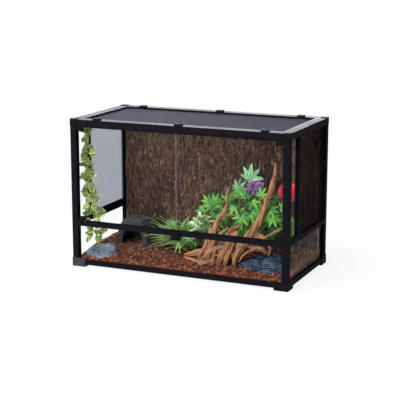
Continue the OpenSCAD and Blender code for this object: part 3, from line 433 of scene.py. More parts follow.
# painted shade in the crevices between limbs and down in the deep grooves
creviceShade = addNode(tree, "Attribute", attribute_name="creviceShade").outputs["Fac"]
tone = mixColour(tree, remap(tree, creviceShade, 0.06, 0.6, (0, 0.96)), tone, woodSet["creviceShade"])
grooved = bumpOf(tree, strands, woodSet["relief"], woodSet["depth"], {"Normal": out["Normal"]})
finishMaterial("driftwood", material, tone, remap(tree, strands, 0.3, 0.7, (0.6, 0.85)), grooved)

# leaves and petals, with veins and a rim along each
leafSet = {
    "vine_leaf": {"name": "vineCloth", "blade": rgb(0.12, 0.19, 0.025), "rim": rgb(0.6, 0.64, 0.2),
                  "vein": rgb(0.52, 0.58, 0.22), "veins": 7, "blotch": 0.5, "rimWidth": 0.3},
    "grass_leaf": {"name": "grassPlastic", "blade": rgb(0.12, 0.42, 0.035), "rim": rgb(0.5, 0.72, 0.26),
                   "vein": rgb(0.62, 0.8, 0.38), "veins": 4, "blotch": 0.4, "rimWidth": 0.3},
    "broad_leaf": {"name": "broadCloth", "blade": rgb(0.055, 0.31, 0.016), "rim": rgb(0.22, 0.54, 0.05),
                   "vein": rgb(0.46, 0.76, 0.2), "veins": 9, "blotch": 0.5, "rimWidth": 0.32},
    # painted shade: a darker copy of the broad leaves for the ones behind, which lie in the front leaves'
    # shade
    "painted_shade_leaf": {"name": "paintedShadeCloth", "blade": rgb(0.016, 0.12, 0.028), "rim": rgb(0.05, 0.2, 0.045),
                  "vein": rgb(0.12, 0.34, 0.1), "veins": 9, "blotch": 0.5, "rimWidth": 0.3},
    "frosted_leaf": {"name": "frostedCloth", "blade": rgb(0.2, 0.42, 0.14), "rim": rgb(0.74, 0.84, 0.52),
                     "vein": rgb(0.8, 0.88, 0.62), "veins": 5, "blotch": 0.4, "rimWidth": 0.36},
    "pale_leaf": {"name": "paleCloth", "blade": rgb(0.1, 0.34, 0.15), "rim": rgb(0.38, 0.64, 0.33),
                  "vein": rgb(0.68, 0.84, 0.54), "veins": 10, "blotch": 0.6, "rimWidth": 0.38},
    "purple_petal": {"name": "purpleCloth", "blade": rgb(0.26, 0.085, 0.32), "rim": rgb(0.46, 0.23, 0.53),
                     "vein": rgb(0.62, 0.42, 0.68), "veins": 3, "blotch": 0.6, "rimWidth": 0.3},
    "red_petal": {"name": "redCloth", "blade": rgb(0.95, 0.005, 0.02), "rim": rgb(0.95, 0.05, 0.09),
                  "vein": rgb(0.95, 0.24, 0.3), "veins": 2, "blotch": 0.5, "rimWidth": 0.3},
}
deepTones = {"broad_leaf": rgb(0.012, 0.1, 0.03), "vine_leaf": rgb(0.05, 0.11, 0.02),
             "grass_leaf": rgb(0.05, 0.24, 0.03)}  # the others turn to half their blade colour
clothSheen = {"Sheen Weight": 0.15, "Sheen Roughness": 0.5}
for slot, look in leafSet.items():
    material, tree = emptyMaterial(look["name"])
    out = useGroup(tree, veined, Blade=look["blade"], Rim=look["rim"], Vein=look["vein"], Veins=look["veins"],
                   Blotch=look["blotch"], RimWidth=look["rimWidth"])
    lot = addNode(tree, "NewGeometry").outputs["Random Per Island"]
    deep = deepTones.get(slot, rgb(*(c * 0.5 for c in look["blade"][:3])))
    tone = mixColour(tree, remap(tree, lot, 0.4, 1.0, (0, 0.85)), out["Colour"], deep)
    roughness = remap(tree, out["Mask"], 0, 1, (0.5, 0.65))
    finishMaterial(slot, material, tone, roughness, out["Normal"], clothSheen)

# glass as the photograph shows it, nearly free of reflections; light falls straight through it
glassSet = {"tint": rgb(0.965, 0.985, 0.98), "smeared": rgb(0.93, 0.96, 0.95), "ior": 1.028,
            "passes": rgb(0.965, 0.98, 0.975), "smears": 6}
material, tree = emptyMaterial("clearGlass")
smear = noiseOver(tree, objectPlace(tree), glassSet["smears"], 5)
tone = mixColour(tree, remap(tree, smear, 0.4, 0.75, (0, 0.3)), glassSet["tint"], glassSet["smeared"])
pane = addNode(tree, "BsdfPrincipled", {
    "Base Color": tone, "Roughness": 0.0, "IOR": glassSet["ior"], "Transmission Weight": 1.0})
through = addNode(tree, "BsdfTransparent", {"Color": glassSet["passes"]})
path = addNode(tree, "LightPath").outputs
passing = maths(tree, "MAXIMUM", path["Is Shadow Ray"], path["Is Diffuse Ray"])
addNode(tree, "OutputMaterial", {"Surface": mixShader(tree, passing, pane, through)})
finishes["clear_glass"] = material

slotOf = {part["node"]: part["material_slot"] for part in frame["record"]["subparts"]}
slotOf.update({"feet": "foot_black", "mid_rail_front": "rail_gloss", "lid_frame": "lid_gloss"})
for name, node in nodes.items():
    node.data.materials.clear()
    node.data.materials.append(finishes[slotOf[name]])
print("materials ready:", len(finishes))


# modelling helpers

def keepPiece(name, bm, finish, replaced=(), body="tank", smooth=True):
    data = bpy.data.meshes.new(name)
    for face in bm.faces:
        face.smooth = smooth
    bm.to_mesh(data)
    bm.free()
    data.materials.append(finishes[finish])
    piece = bpy.data.objects.new(name, data)
    scene.collection.objects.link(piece)
    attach(piece, body)
    if replaced:
        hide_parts(*replaced)
    print("piece", name, len(data.polygons), "faces")


def template(bm, name="template"):
    data = bpy.data.meshes.new(name)
    bm.to_mesh(data)
    bm.free()
    return data


def stamp(bm, source, matrix):
    copy = source.copy()
    copy.transform(matrix)
    bm.from_mesh(copy)
    bpy.data.meshes.remove(copy)


def mm(*numbers):
    return Vector(numbers) / 1000


def noiseAt(x, y, z):
    return noise.noise(Vector((x, y, z)))


# a matrix that lays a template's length along one direction and turns its face towards another
def lookAlong(place, along, up, size=1.0):
    y = Vector(along).normalized()
    x = y.cross(Vector(up)).normalized()
    turn = Matrix((x, y, x.cross(y))).transposed().to_4x4()
    return Matrix.Translation(place) @ turn @ Matrix.Scale(size, 4)


# a smooth line through a few points
def curve(points, steps=6):
    points = [Vector(p) for p in points]
    line = []
    for i in range(len(points) - 1):
        before, after = points[max(i - 1, 0)], points[min(i + 2, len(points) - 1)]
        a, b = points[i], points[i + 1]
        for k in range(steps):
            t = k / steps
            line.append(0.5 * ((2 * a) + (b - before) * t + (2 * before - 5 * a + 4 * b - after) * t * t
                               + (3 * a - before - 3 * b + after) * t ** 3))
    return line + [points[-1]]


def tube(bm, points, radii, sides):
    points = [Vector(p) for p in points]
    last = len(points) - 1
    ways = [(points[min(i + 1, last)] - points[max(i - 1, 0)]).normalized() for i in range(last + 1)]
    turn = Vector((0, 0, 1)).rotation_difference(ways[0]).to_matrix().to_4x4()
    start = Matrix.Translation(points[0]) @ turn
    ring = bmesh.ops.create_circle(bm, cap_ends=True, segments=sides, radius=radii[0], matrix=start)["verts"]
    cap = ring[0].link_faces[0]
    for i in range(1, last + 1):
        grown = bmesh.ops.extrude_face_region(bm, geom=[cap])["geom"]
        cap = next(g for g in grown if isinstance(g, bmesh.types.BMFace))
        turn = ways[i - 1].rotation_difference(ways[i]).to_matrix().to_4x4()
        grow = Matrix.Scale(radii[i] / radii[i - 1], 4)
        move = Matrix.Translation(points[i]) @ turn @ grow @ Matrix.Translation(-points[i - 1])
        bmesh.ops.transform(bm, matrix=move, verts=[g for g in grown if isinstance(g, bmesh.types.BMVert)])


def stalk(bm, line, radius):
    stem = bmesh.new()
    tube(stem, line, [radius] * len(line), 5)
    bmesh.ops.recalc_face_normals(stem, faces=stem.faces)
    stamp(bm, template(stem, "stalk"), Matrix())


# a leaf or petal one unit long: width share, widest place, droop at the tip, cupping, and a wavy rim
def leafTemplate(width, widest=0.4, droop=0.2, cup=0.2, wave=0.0, rows=8, columns=4, thick=0.008, blunt=0.9):
    bm = bmesh.new()
    bm.loops.layers.uv.new("UVMap")
    bmesh.ops.create_grid(bm, x_segments=columns, y_segments=rows, size=0.5, calc_uvs=True)
    power = math.log(0.5) / math.log(widest)
    for v in bm.verts:
        side, t = v.co.x * 2, v.co.y + 0.5
        half = width / 2 * max(0.012, math.sin(math.pi * t ** power) ** blunt)
        lift = cup * abs(side) ** 1.5 * half * 2 - droop * t * t
        lift += wave * math.sin(t * 17 + side * 2) * abs(side) * half
        v.co = Vector((side * half, t - 0.02, lift))
    bmesh.ops.solidify(bm, geom=bm.faces[:], thickness=thick)
    bmesh.ops.recalc_face_normals(bm, faces=bm.faces)
    return template(bm, "leaf")


# one closed skin over overlapping shapes
def fusedCopy(data, voxel, passes):
    work = bpy.data.objects.new("work", data)
    scene.collection.objects.link(work)
    remesh = work.modifiers.new("remesh", "REMESH")
    remesh.mode = "VOXEL"
    remesh.voxel_size = voxel
    relax = work.modifiers.new("relax", "SMOOTH")
    relax.factor = 0.5
    relax.iterations = passes
    bm = bmesh.new()
    bm.from_object(work, bpy.context.evaluated_depsgraph_get())
    bpy.data.objects.remove(work)
    bm.normal_update()
    return bm


# gives an open sheet a body: its faces grow back to a flat level along one axis
def backUp(bm, axis, level):
    for grown in bmesh.ops.extrude_face_region(bm, geom=bm.faces[:])["geom"]:
        if isinstance(grown, bmesh.types.BMVert):
            grown.co[axis] = level
    bmesh.ops.recalc_face_normals(bm, faces=bm.faces)


# rounds a height off into steps with a short steep rise between them
def terrace(height, step, sharp=0.74):
    level = math.floor(height / step)
    rise = (height / step - level - sharp) / (1 - sharp)
    return (level + max(0.0, min(1.0, rise))) * step


# a rock drawn as a height over an outline given by its corners in mm, closed below
def rock(shape, height):
    bm = bmesh.new()
    middle = Vector(shape["middle"])
    angles = [math.atan2(y, x) for x, y in shape["corners"]]
    reaches = [math.hypot(x, y) for x, y in shape["corners"]]
    bmesh.ops.create_grid(bm, x_segments=shape["steps"], y_segments=shape["steps"], size=1)
    for v in bm.verts:
        x, y = v.co.x * math.sqrt(1 - v.co.y ** 2 / 2), v.co.y * math.sqrt(1 - v.co.x ** 2 / 2)
        out = math.hypot(x, y)
        reach = np.interp(math.atan2(y, x), angles, reaches, period=math.tau) / 1000
        ragged = 1 + 0.05 * noiseAt(x * 9, y * 9, middle.x) * out
        spot = Vector((x * reach * ragged, y * reach * ragged, 0))
        v.co = middle + spot + Vector((0, 0, height(out, spot)))
    backUp(bm, 2, shape["foot"])
    return bm


# woven wire of the lid and the vents

wireSet = {"pitch": 0.002, "lid": 0.00045, "vent": 0.00038, "crossing": 0.9, "lidLift": 0.0003,
           "ventInset": 0.0004, "portHole": 0.0129}


def wireBar(bm, start, end, thick):
    way = end - start
    turn = Vector((0, 0, 1)).rotation_difference(way.normalized()).to_matrix().to_4x4()
    bar = Matrix.Translation((start + end) / 2) @ turn @ Matrix.Diagonal((thick, thick, way.length, 1))
    bmesh.ops.create_cube(bm, size=1, matrix=bar)


# two layers of bars over a rectangle, one on the other, and left out inside a round hole
def wireSheet(bm, corner, alongU, alongV, lift, thick, hole=None):
    corner, alongU, alongV, lift = Vector(corner), Vector(alongU), Vector(alongV), Vector(lift)
    middle, radius = hole or (corner, 0)
    for first, second, layer in ((alongU, alongV, 0), (alongV, alongU, 1)):
        count = int(second.length / wireSet["pitch"])
        shift = lift * layer * thick * wireSet["crossing"]
        for i in range(1, count):
            start = corner + second * (i / count) + shift
            reach = (Vector(middle) - start).project(first)
            miss = (start + reach - Vector(middle)).length
            if hole and miss < radius:
                half = first.normalized() * math.sqrt(radius ** 2 - miss ** 2)
                wireBar(bm, start, start + reach - half, thick)
                wireBar(bm, start + reach + half, start + first, thick)
            else:
                wireBar(bm, start, start + first, thick)


low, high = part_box("lid_mesh")
bm = bmesh.new()
wireSheet(bm, (low.x, low.y, low.z + wireSet["lidLift"]), (high.x - low.x, 0, 0), (0, high.y - low.y, 0),
          (0, 0, 1), wireSet["lid"])
keepPiece("lidWire", bm, "lit_lid_wire", ["lid_mesh"], body="lid", smooth=False)

low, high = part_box("vent_meshes")
portLow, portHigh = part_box("port_nut")
portMiddle = (portLow + portHigh) / 2
bm = bmesh.new()
for side in (-1, 1):
    x = side * (high.x - wireSet["ventInset"])
    hole = ((x, portMiddle.y, portMiddle.z), wireSet["portHole"]) if side > 0 else None
    wireSheet(bm, (x, low.y, low.z), (0, high.y - low.y, 0), (0, 0, high.z - low.z), (-side, 0, 0),
              wireSet["vent"], hole)
keepPiece("ventWire", bm, "mesh_wire", ["vent_meshes"], smooth=False)
print("wire ready")


# ground edges of the doors where the panes meet, pale against the bark
edgeSet = {"colour": rgb(0.24, 0.22, 0.2), "rubbed": rgb(0.11, 0.1, 0.09), "roughness": 0.5, "thick": 0.0007,
           "grind": 300, "relief": 0.2, "depth": 0.0003, "plain": {"Specular IOR Level": 0.3}}
material, tree = emptyMaterial("groundEdge")
grind = noiseOver(tree, objectPlace(tree), edgeSet["grind"], 3)
tone = mixColour(tree, remap(tree, grind, 0.35, 0.65), edgeSet["colour"], edgeSet["rubbed"])
rub = bumpOf(tree, grind, edgeSet["relief"], edgeSet["depth"])
finishMaterial("ground_edge", material, tone, edgeSet["roughness"], rub, edgeSet["plain"])
for body, piece, side in (("left_door", "leftDoorEdge", 1), ("right_door", "rightDoorEdge", -1)):
    low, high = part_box(body + "_glass")
    x = (high.x if side > 0 else low.x) + side * edgeSet["thick"] / 2
    middle = Matrix.Translation((x, (low.y + high.y) / 2, (low.z + high.z) / 2))
    size = Matrix.Diagonal((edgeSet["thick"], high.y - low.y, high.z - low.z, 1))
    bm = bmesh.new()
    bmesh.ops.create_cube(bm, size=1, matrix=middle @ size)
    keepPiece(piece, bm, "ground_edge", body=body, smooth=False)


# bedding: a lumpy bed with loose chips over it

beddingSet = {"columns": 250, "rows": 112, "lumps": 0.0035, "sunk": 0.0012, "even": 0.03, "postX": 0.4247,
              "postY": 0.1997, "under": 0.0297, "blockTop": 0.0303,
              "slope": [(-0.2127, 0.0300), (-0.1597, 0.0402), (-0.0997, 0.0489), (-0.0497, 0.0570),
                        (0.0473, 0.0591), (0.1804, 0.0610)]}  # distance back, and height of the surface there
chipSet = {"count": 6400, "kinds": 7, "short": 0.0045, "long": 0.014, "seed": 4, "halfWidth": 0.428,
           "front": -0.2085, "depth": 0.386, "forward": 1.25, "cornerX": 0.416, "cornerY": -0.19,
           "smallBefore": -0.2, "smaller": 0.75,  # and none lie under the dish and the slate
           "bare": [((-0.368, -0.14), (0.052, 0.042)), ((0.31, -0.07), (0.095, 0.06))]}
slopeY, slopeZ = zip(*beddingSet["slope"])


def soilHeight(x, y):
    lump = noiseAt(x * 16, y * 16, 2) + 0.45 * noiseAt(x * 60, y * 60, 5)
    share = min(1.0, (y - slopeY[0]) / beddingSet["even"])
    return float(np.interp(y, slopeY, slopeZ)) - beddingSet["sunk"] + beddingSet["lumps"] * lump * share


low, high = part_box("bedding")
middle = ((low.x + high.x) / 2, (low.y + high.y) / 2, 0)
bm = bmesh.new()
spread = Matrix.Translation(middle) @ Matrix.Diagonal((high.x - low.x, high.y - low.y, 1, 1))
bmesh.ops.create_grid(bm, x_segments=beddingSet["columns"], y_segments=beddingSet["rows"], size=0.5,
                      matrix=spread)
corners = [v for v in bm.verts if abs(v.co.x) > beddingSet["postX"] and abs(v.co.y) > beddingSet["postY"]]
bmesh.ops.delete(bm, geom=corners, context="VERTS")
for v in bm.verts:
    v.co.z = soilHeight(v.co.x, v.co.y)
backUp(bm, 2, beddingSet["under"])
blockY, blockZ = (-beddingSet["postY"], high.y), (low.z, beddingSet["blockTop"])  # the fill between the rails
below = Matrix.Translation((0, sum(blockY) / 2, sum(blockZ) / 2)) @ Matrix.Diagonal(
    (2 * beddingSet["postX"], blockY[1] - blockY[0], blockZ[1] - blockZ[0], 1))
bmesh.ops.create_cube(bm, size=1, matrix=below)

rng = random.Random(chipSet["seed"])
chipKinds = []
for kind in range(chipSet["kinds"]):
    chip = bmesh.new()
    shape = Matrix.Diagonal((1, rng.uniform(0.35, 0.6), rng.uniform(0.14, 0.3), 1))
    bmesh.ops.create_cube(chip, size=1, matrix=shape)
    for v in chip.verts:
        shift = Vector((rng.uniform(-0.22, 0.14), rng.uniform(-0.12, 0.12), rng.uniform(-0.05, 0.05)))
        v.co += shift * (1 if v.co.x > 0 else -1)
    bmesh.ops.recalc_face_normals(chip, faces=chip.faces)
    chipKinds.append(template(chip, "chip"))


def isBare(x, y):
    inCorner = abs(x) > chipSet["cornerX"] and y < chipSet["cornerY"]
    return inCorner or any(math.hypot((x - at[0]) / half[0], (y - at[1]) / half[1]) < 1
                           for at, half in chipSet["bare"])


for i in range(chipSet["count"]):
    x = rng.uniform(-chipSet["halfWidth"], chipSet["halfWidth"])
    y = chipSet["front"] + chipSet["depth"] * rng.random() ** chipSet["forward"]
    if isBare(x, y):
        continue
    size = rng.uniform(chipSet["short"], chipSet["long"])
    size *= chipSet["smaller"] if y < chipSet["smallBefore"] else 1
    turn = Euler((rng.gauss(0, 0.35), rng.gauss(0, 0.3), rng.uniform(0, 6.28))).to_matrix().to_4x4()
    spot = Matrix.Translation((x, y, soilHeight(x, y) + rng.uniform(0.0004, 0.002)))
    stamp(bm, rng.choice(chipKinds), spot @ turn @ Matrix.Scale(size, 4))
keepPiece("beddingBed", bm, "bedding", ["bedding"], smooth=False)


# bark background: split plates with upright cracks

barkSet = {"across": 400, "up": 230, "crack": 0.0056, "flake": 0.0016, "fibre": 0.0022, "swell": 0.0030,
           "plate": 0.0055, "least": 0.0002, "most": 0.014}


def barkDepth(x, z):
    warp = noiseAt(x * 12, z * 5, 4) * 0.7
    cells = noise.voronoi(Vector((x * 62 + warp, z * 17 + warp, 0)))[0]
    gap = min(1.0, (cells[1] - cells[0]) * 2.6)
    flake = noiseAt(x * 95, z * 42, 9) + 0.7 * noiseAt(x * 210, z * 95, 2)
    fibre = noise.fractal(Vector((x * 190, z * 30, 3)), 0.9, 2.1, 4)
    swell = noiseAt(x * 7, z * 3.2, 1) + 0.5 * noiseAt(x * 22, z * 9, 7)
    depth = barkSet["plate"] + barkSet["crack"] * (1 - gap) ** 2
    depth -= barkSet["fibre"] * fibre + barkSet["swell"] * swell + barkSet["flake"] * flake
    return min(barkSet["most"], max(barkSet["least"], depth))


low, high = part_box("bark_background")
middle = Matrix.Translation(((low.x + high.x) / 2, low.y, (low.z + high.z) / 2))
span = Matrix.Diagonal((high.x - low.x, high.z - low.z, 1, 1))
upright = middle @ Matrix.Rotation(math.pi / 2, 4, "X") @ span
bm = bmesh.new()
bmesh.ops.create_grid(bm, x_segments=barkSet["across"], y_segments=barkSet["up"], size=0.5, matrix=upright)
for v in bm.verts:
    v.co.y = low.y + barkDepth(v.co.x, v.co.z)
backUp(bm, 1, high.y)
keepPiece("barkPanel", bm, "bark", ["bark_background"])


# cave, dish and slate: rock in thin ledges

caveSet = {"voxel": 0.0024, "relax": 1, "rough": 0.0026, "ledge": 0.0044, "step": 0.0125, "bend": 0.006,
           "tilt": 0.02, "middleX": -0.285, "inset": 0.0006}


def caveOffset(p, n):
    level = p.z + caveSet["bend"] * noise.noise(p * 14) + caveSet["tilt"] * (p.x - caveSet["middleX"])
    share = (level / caveSet["step"]) % 1
    lump = noise.fractal(p * 30, 0.8, 2.1, 4)
    return caveSet["rough"] * lump + caveSet["ledge"] * (0.45 - share) * (1 - abs(n.z)) - caveSet["inset"]


merged = bmesh.new()
merged.from_mesh(nodes["hide_cave"].data)
bmesh.ops.remove_doubles(merged, verts=merged.verts, dist=0.00002)
bm = fusedCopy(template(merged), caveSet["voxel"], caveSet["relax"])
moves = [v.normal * caveOffset(v.co, v.normal) for v in bm.verts]
for v, move in zip(bm.verts, moves):
    v.co += move
bm.normal_update()
keepPiece("hideCave", bm, "cave_resin", ["hide_cave"], smooth=False)

dishSet = {"middle": (-0.368, -0.138, 0), "steps": 150, "rim": 0.0175, "step": 0.0034, "foot": 0.031,
           "basin": 0.0085, "basinAt": (2, 3), "basinHalf": (44, 33), "brim": 0.86,
           "corners": [(62, -12), (40, 46), (-8, 58), (-50, 36), (-67, -8), (-46, -38), (-6, -48), (34, -60)]}


def dishHeight(out, spot):
    x, y = spot.x * 1000, spot.y * 1000
    ground = soilHeight(dishSet["middle"][0] + spot.x, dishSet["middle"][1] + spot.y)
    lift = dishSet["rim"] * (0.85 + 0.25 * math.tanh((x + y) / 30))
    across = (x - dishSet["basinAt"][0]) / dishSet["basinHalf"][0]
    along = (y - dishSet["basinAt"][1]) / dishSet["basinHalf"][1]
    basin = max(0.0, 1 - math.hypot(across, along) ** 4)
    edge = max(0.0, (out - dishSet["brim"]) / (1 - dishSet["brim"])) ** 1.4
    rise = lift * (1 - edge) - dishSet["basin"] * basin ** 0.6 + 0.0016 * noise.noise(spot * 60)
    return ground + terrace(rise, dishSet["step"]) + 0.0006 * noise.noise(spot * 240)


keepPiece("waterDish", rock(dishSet, dishHeight), "dish_resin", ["water_dish"], smooth=False)

slateSet = {"middle": (0.31, -0.072, 0), "steps": 190, "top": 0.036, "step": 0.0048, "foot": 0.031,
            "sunk": 0.001, "crown": 0.42, "tilt": 0.10, "sharp": 0.8,
            "corners": [(112, 6), (84, 60), (20, 70), (-66, 52), (-94, 4), (-118, -60), (-60, -70), (10, -88),
                        (76, -90), (104, -52)]}


def slateHeight(out, spot):
    x, y = spot.x, spot.y
    ground = soilHeight(slateSet["middle"][0] + x, slateSet["middle"][1] + y)
    dome = 1 - max(0.0, (out - slateSet["crown"]) / (1 - slateSet["crown"])) ** 1.15
    torn = noiseAt(x * 14, y * 40, 3) + 0.5 * noiseAt(x * 40, y * 90, 6)
    rise = slateSet["top"] * dome * (0.82 + 0.35 * torn) + slateSet["tilt"] * max(0.0, x) * dome
    ledges = terrace(rise, slateSet["step"], slateSet["sharp"])
    return ground - slateSet["sunk"] + ledges + 0.0007 * noise.noise(spot * 160)


keepPiece("slateSlab", rock(slateSet, slateHeight), "slate", ["slate_rock"], smooth=False)


# driftwood: every limb is a bundle of strands that twist round each other, fused into one skin
woodShape = {"voxel": 0.002, "relax": 1, "twist": 19, "groove": 0.0034, "fine": 0.0016, "knot": 0.004,
             "thinnest": 0.0018, "sides": 7, "creviceShade": 0.0035, "leaning": (0.3, 0.9, 0.2), "seed": 17}
woodLimbs = [  # strands, then the places with the limb's radius there, in mm
    (4, [[-22, -96, 60, 5], [8, -98, 68, 10], [40, -100, 74, 14], [84, -104, 84, 17], [120, -104, 92, 20]]),
    (3, [[-20, -108, 52, 6], [18, -120, 48, 9], [58, -132, 44, 11], [92, -134, 50, 13],
         [128, -122, 62, 15]]),
    (6, [[92, -96, 66, 20], [112, -100, 88, 25], [146, -98, 100, 27], [184, -92, 90, 21],
         [206, -94, 60, 13]]),
    (4, [[70, -104, 78, 14], [84, -104, 116, 15], [98, -92, 156, 12], [106, -72, 200, 9],
         [126, -60, 222, 7], [160, -50, 226, 5], [178, -44, 218, 4]]),
    (3, [[112, -72, 206, 8], [126, -52, 236, 7], [130, -30, 268, 6], [122, -6, 306, 5], [121, 2, 322, 3]]),
    (4, [[150, -92, 112, 17], [164, -96, 140, 14], [184, -96, 158, 12], [200, -92, 172, 7]]),
    (4, [[190, -106, 52, 11], [198, -108, 82, 12], [212, -104, 118, 14], [236, -92, 152, 15],
         [258, -72, 184, 14], [276, -52, 226, 12], [290, -24, 282, 11], [300, 4, 336, 9], [304, 26, 388, 7],
         [300, 40, 424, 4]]),
    (3, [[210, -84, 120, 11], [240, -78, 150, 12], [276, -70, 158, 12], [306, -66, 142, 11],
         [322, -66, 118, 9], [318, -76, 86, 5]]),
    (3, [[226, -96, 128, 8], [262, -92, 116, 10], [296, -84, 112, 9], [314, -78, 96, 6]]),
    (2, [[290, -68, 150, 6], [326, -64, 172, 5], [358, -60, 192, 4], [370, -58, 201, 2.5]]),
    (3, [[56, -118, 50, 7], [78, -128, 72, 9], [106, -130, 96, 9], [136, -126, 112, 9], [168, -118, 106, 9],
         [188, -112, 82, 10], [196, -114, 50, 8]]),
    (2, [[98, -130, 44, 7], [110, -136, 62, 7], [126, -136, 82, 6], [150, -134, 80, 6], [162, -130, 60, 7],
         [150, -130, 42, 7]]),
    (2, [[164, -122, 50, 7], [172, -120, 78, 6], [170, -112, 100, 6], [186, -104, 120, 6],
         [206, -104, 108, 6], [208, -106, 80, 7]]),
    (2, [[250, -84, 166, 6], [264, -84, 176, 5], [278, -80, 172, 3]]),
    (2, [[92, -98, 150, 5], [80, -96, 166, 4], [74, -92, 178, 2]]),
    (3, [[48, -112, 46, 7], [56, -118, 74, 9], [72, -112, 104, 11], [84, -104, 138, 11],
         [92, -96, 170, 8]]),
    (3, [[82, -124, 40, 8], [86, -130, 66, 10], [98, -124, 96, 12], [112, -112, 128, 11],
         [120, -100, 150, 8]]),
    (2, [[110, -134, 40, 6], [114, -138, 62, 8], [120, -134, 92, 9], [136, -120, 122, 9],
         [150, -104, 146, 8]]),
    (3, [[136, -136, 40, 7], [140, -138, 62, 9], [150, -130, 92, 11], [166, -116, 124, 11],
         [186, -102, 150, 9]]),
    (2, [[164, -132, 44, 6], [168, -132, 70, 8], [176, -124, 100, 9], [192, -110, 130, 9]]),
    (3, [[196, -122, 48, 7], [200, -122, 74, 9], [214, -114, 104, 11], [234, -102, 134, 11],
         [250, -90, 160, 9]]),
    (2, [[214, -116, 60, 5], [226, -112, 84, 6], [248, -104, 104, 7], [270, -94, 112, 7]]),
    (2, [[150, -112, 140, 8], [172, -100, 176, 8], [196, -88, 196, 6], [210, -80, 206, 3]]),
    (2, [[112, -104, 140, 8], [136, -96, 166, 7], [160, -92, 184, 5]]),
]
rng = random.Random(woodShape["seed"])
bm = bmesh.new()
segments = []  # start, end and radii of each short stretch of a strand, and its place in the fibres' map
for number, (strands, limb) in enumerate(woodLimbs):
    line = curve([mm(*p[:3]) for p in limb], 5)
    radii = np.interp(np.linspace(0, len(limb) - 1, len(line)), range(len(limb)), [p[3] / 1000 for p in limb])
    forward = (line[-1] - line[0]).normalized()
    sideways = forward.cross(Vector(woodShape["leaning"])).normalized()
    upward = sideways.cross(forward)
    start = rng.uniform(0, math.tau)
    for strand in range(strands):
        path, thick, gone = [], [], 0
        for k, (point, radius) in enumerate(zip(line, radii)):
            gone += (point - line[k - 1]).length if k else 0
            angle = start + math.tau * strand / strands + woodShape["twist"] * gone
            away = radius * (0.56 + 0.3 * noiseAt(gone * 26, strand * 3.1, number * 1.7))
            path.append(point + sideways * away * math.cos(angle) + upward * away * math.sin(angle))
            swell = 0.5 + 0.18 * noiseAt(gone * 34, strand * 5.3, number)
            thick.append(max(woodShape["thinnest"], radius * swell))
        tube(bm, path, thick, woodShape["sides"])
        segments += [(path[k], path[k + 1], thick[k], thick[k + 1], number + strand * 0.37 + k * 0.013)
                     for k in range(len(path) - 1)]
bmesh.ops.recalc_face_normals(bm, faces=bm.faces)
bm = fusedCopy(template(bm, "strands"), woodShape["voxel"], woodShape["relax"])

# each point of the skin takes its fibres from the nearest strand
points = np.array([v.co for v in bm.verts])
nearest = np.full(len(points), 9.0)
fibres = np.zeros((len(points), 3))
for first, last, thickA, thickB, place in segments:
    a, b = np.array(first), np.array(last)
    way = b - a
    length = np.linalg.norm(way)
    t = np.clip((points - a) @ way / length ** 2, 0, 1)
    off = points - (a + t[:, None] * way)
    gap = np.linalg.norm(off, axis=1) - (thickA + (thickB - thickA) * t)
    sideways = np.cross(way, woodShape["leaning"])
    sideways /= np.linalg.norm(sideways)
    upward = np.cross(sideways, way / length)
    angle = np.arctan2(off @ upward, off @ sideways)
    mine = gap < nearest
    nearest[mine] = gap[mine]
    fibres[mine] = np.stack([np.cos(angle), np.sin(angle), place * 3 + t * length * 5.5], axis=1)[mine]
fibreLayer = bm.verts.layers.float_vector.new("fibre")
creviceShadeLayer = bm.verts.layers.float.new("creviceShade")
moves = []
for v, f, gap in zip(bm.verts, fibres, nearest):
    turned = Vector((f[0] * 2.1, f[1] * 2.1, f[2] * 1.7))
    groove = noise.noise(turned) + 0.5 * noise.noise(turned * 2.3)
    fineGroove = noiseAt(f[0] * 7, f[1] * 7, f[2] * 2.5)
    knot = max(0.0, noise.noise(v.co * 34) - 0.25)
    v[fibreLayer] = Vector(f)
    # painted shade: darker where the fused skin lies off the strands, in the crevices between them, and down
    # in the deep grooves
    v[creviceShadeLayer] = min(1.0, max(0.0, gap / woodShape["creviceShade"]) + max(0.0, -groove - 0.15) * 0.9)
    depth = woodShape["groove"] * groove + woodShape["fine"] * fineGroove + woodShape["knot"] * knot
    moves.append(v.normal * depth)
for v, move in zip(bm.verts, moves):
    v.co += move
keepPiece("driftwoodBranch", bm, "driftwood", ["driftwood"])


# plants

def plantMesh():
    bm = bmesh.new()
    bm.loops.layers.uv.new("UVMap")
    return bm


# a leaf of several lobes that fan out from its stalk, the middle one longest
def starTemplate(lobes, width, spreadTurn, droop, wave=0.15):
    bm = plantMesh()
    lobe = leafTemplate(width, widest=0.42, droop=droop, cup=0.25, wave=wave, rows=7, columns=4)
    for i in range(lobes):
        t = i / (lobes - 1) * 2 - 1
        size = 1 - 0.42 * abs(t) ** 1.6
        turn = Matrix.Rotation(t * spreadTurn, 4, "Z") @ Matrix.Translation((0, 0.02, 0.004 * i))
        stamp(bm, lobe, turn @ Matrix.Scale(size, 4))
    return template(bm, "star")


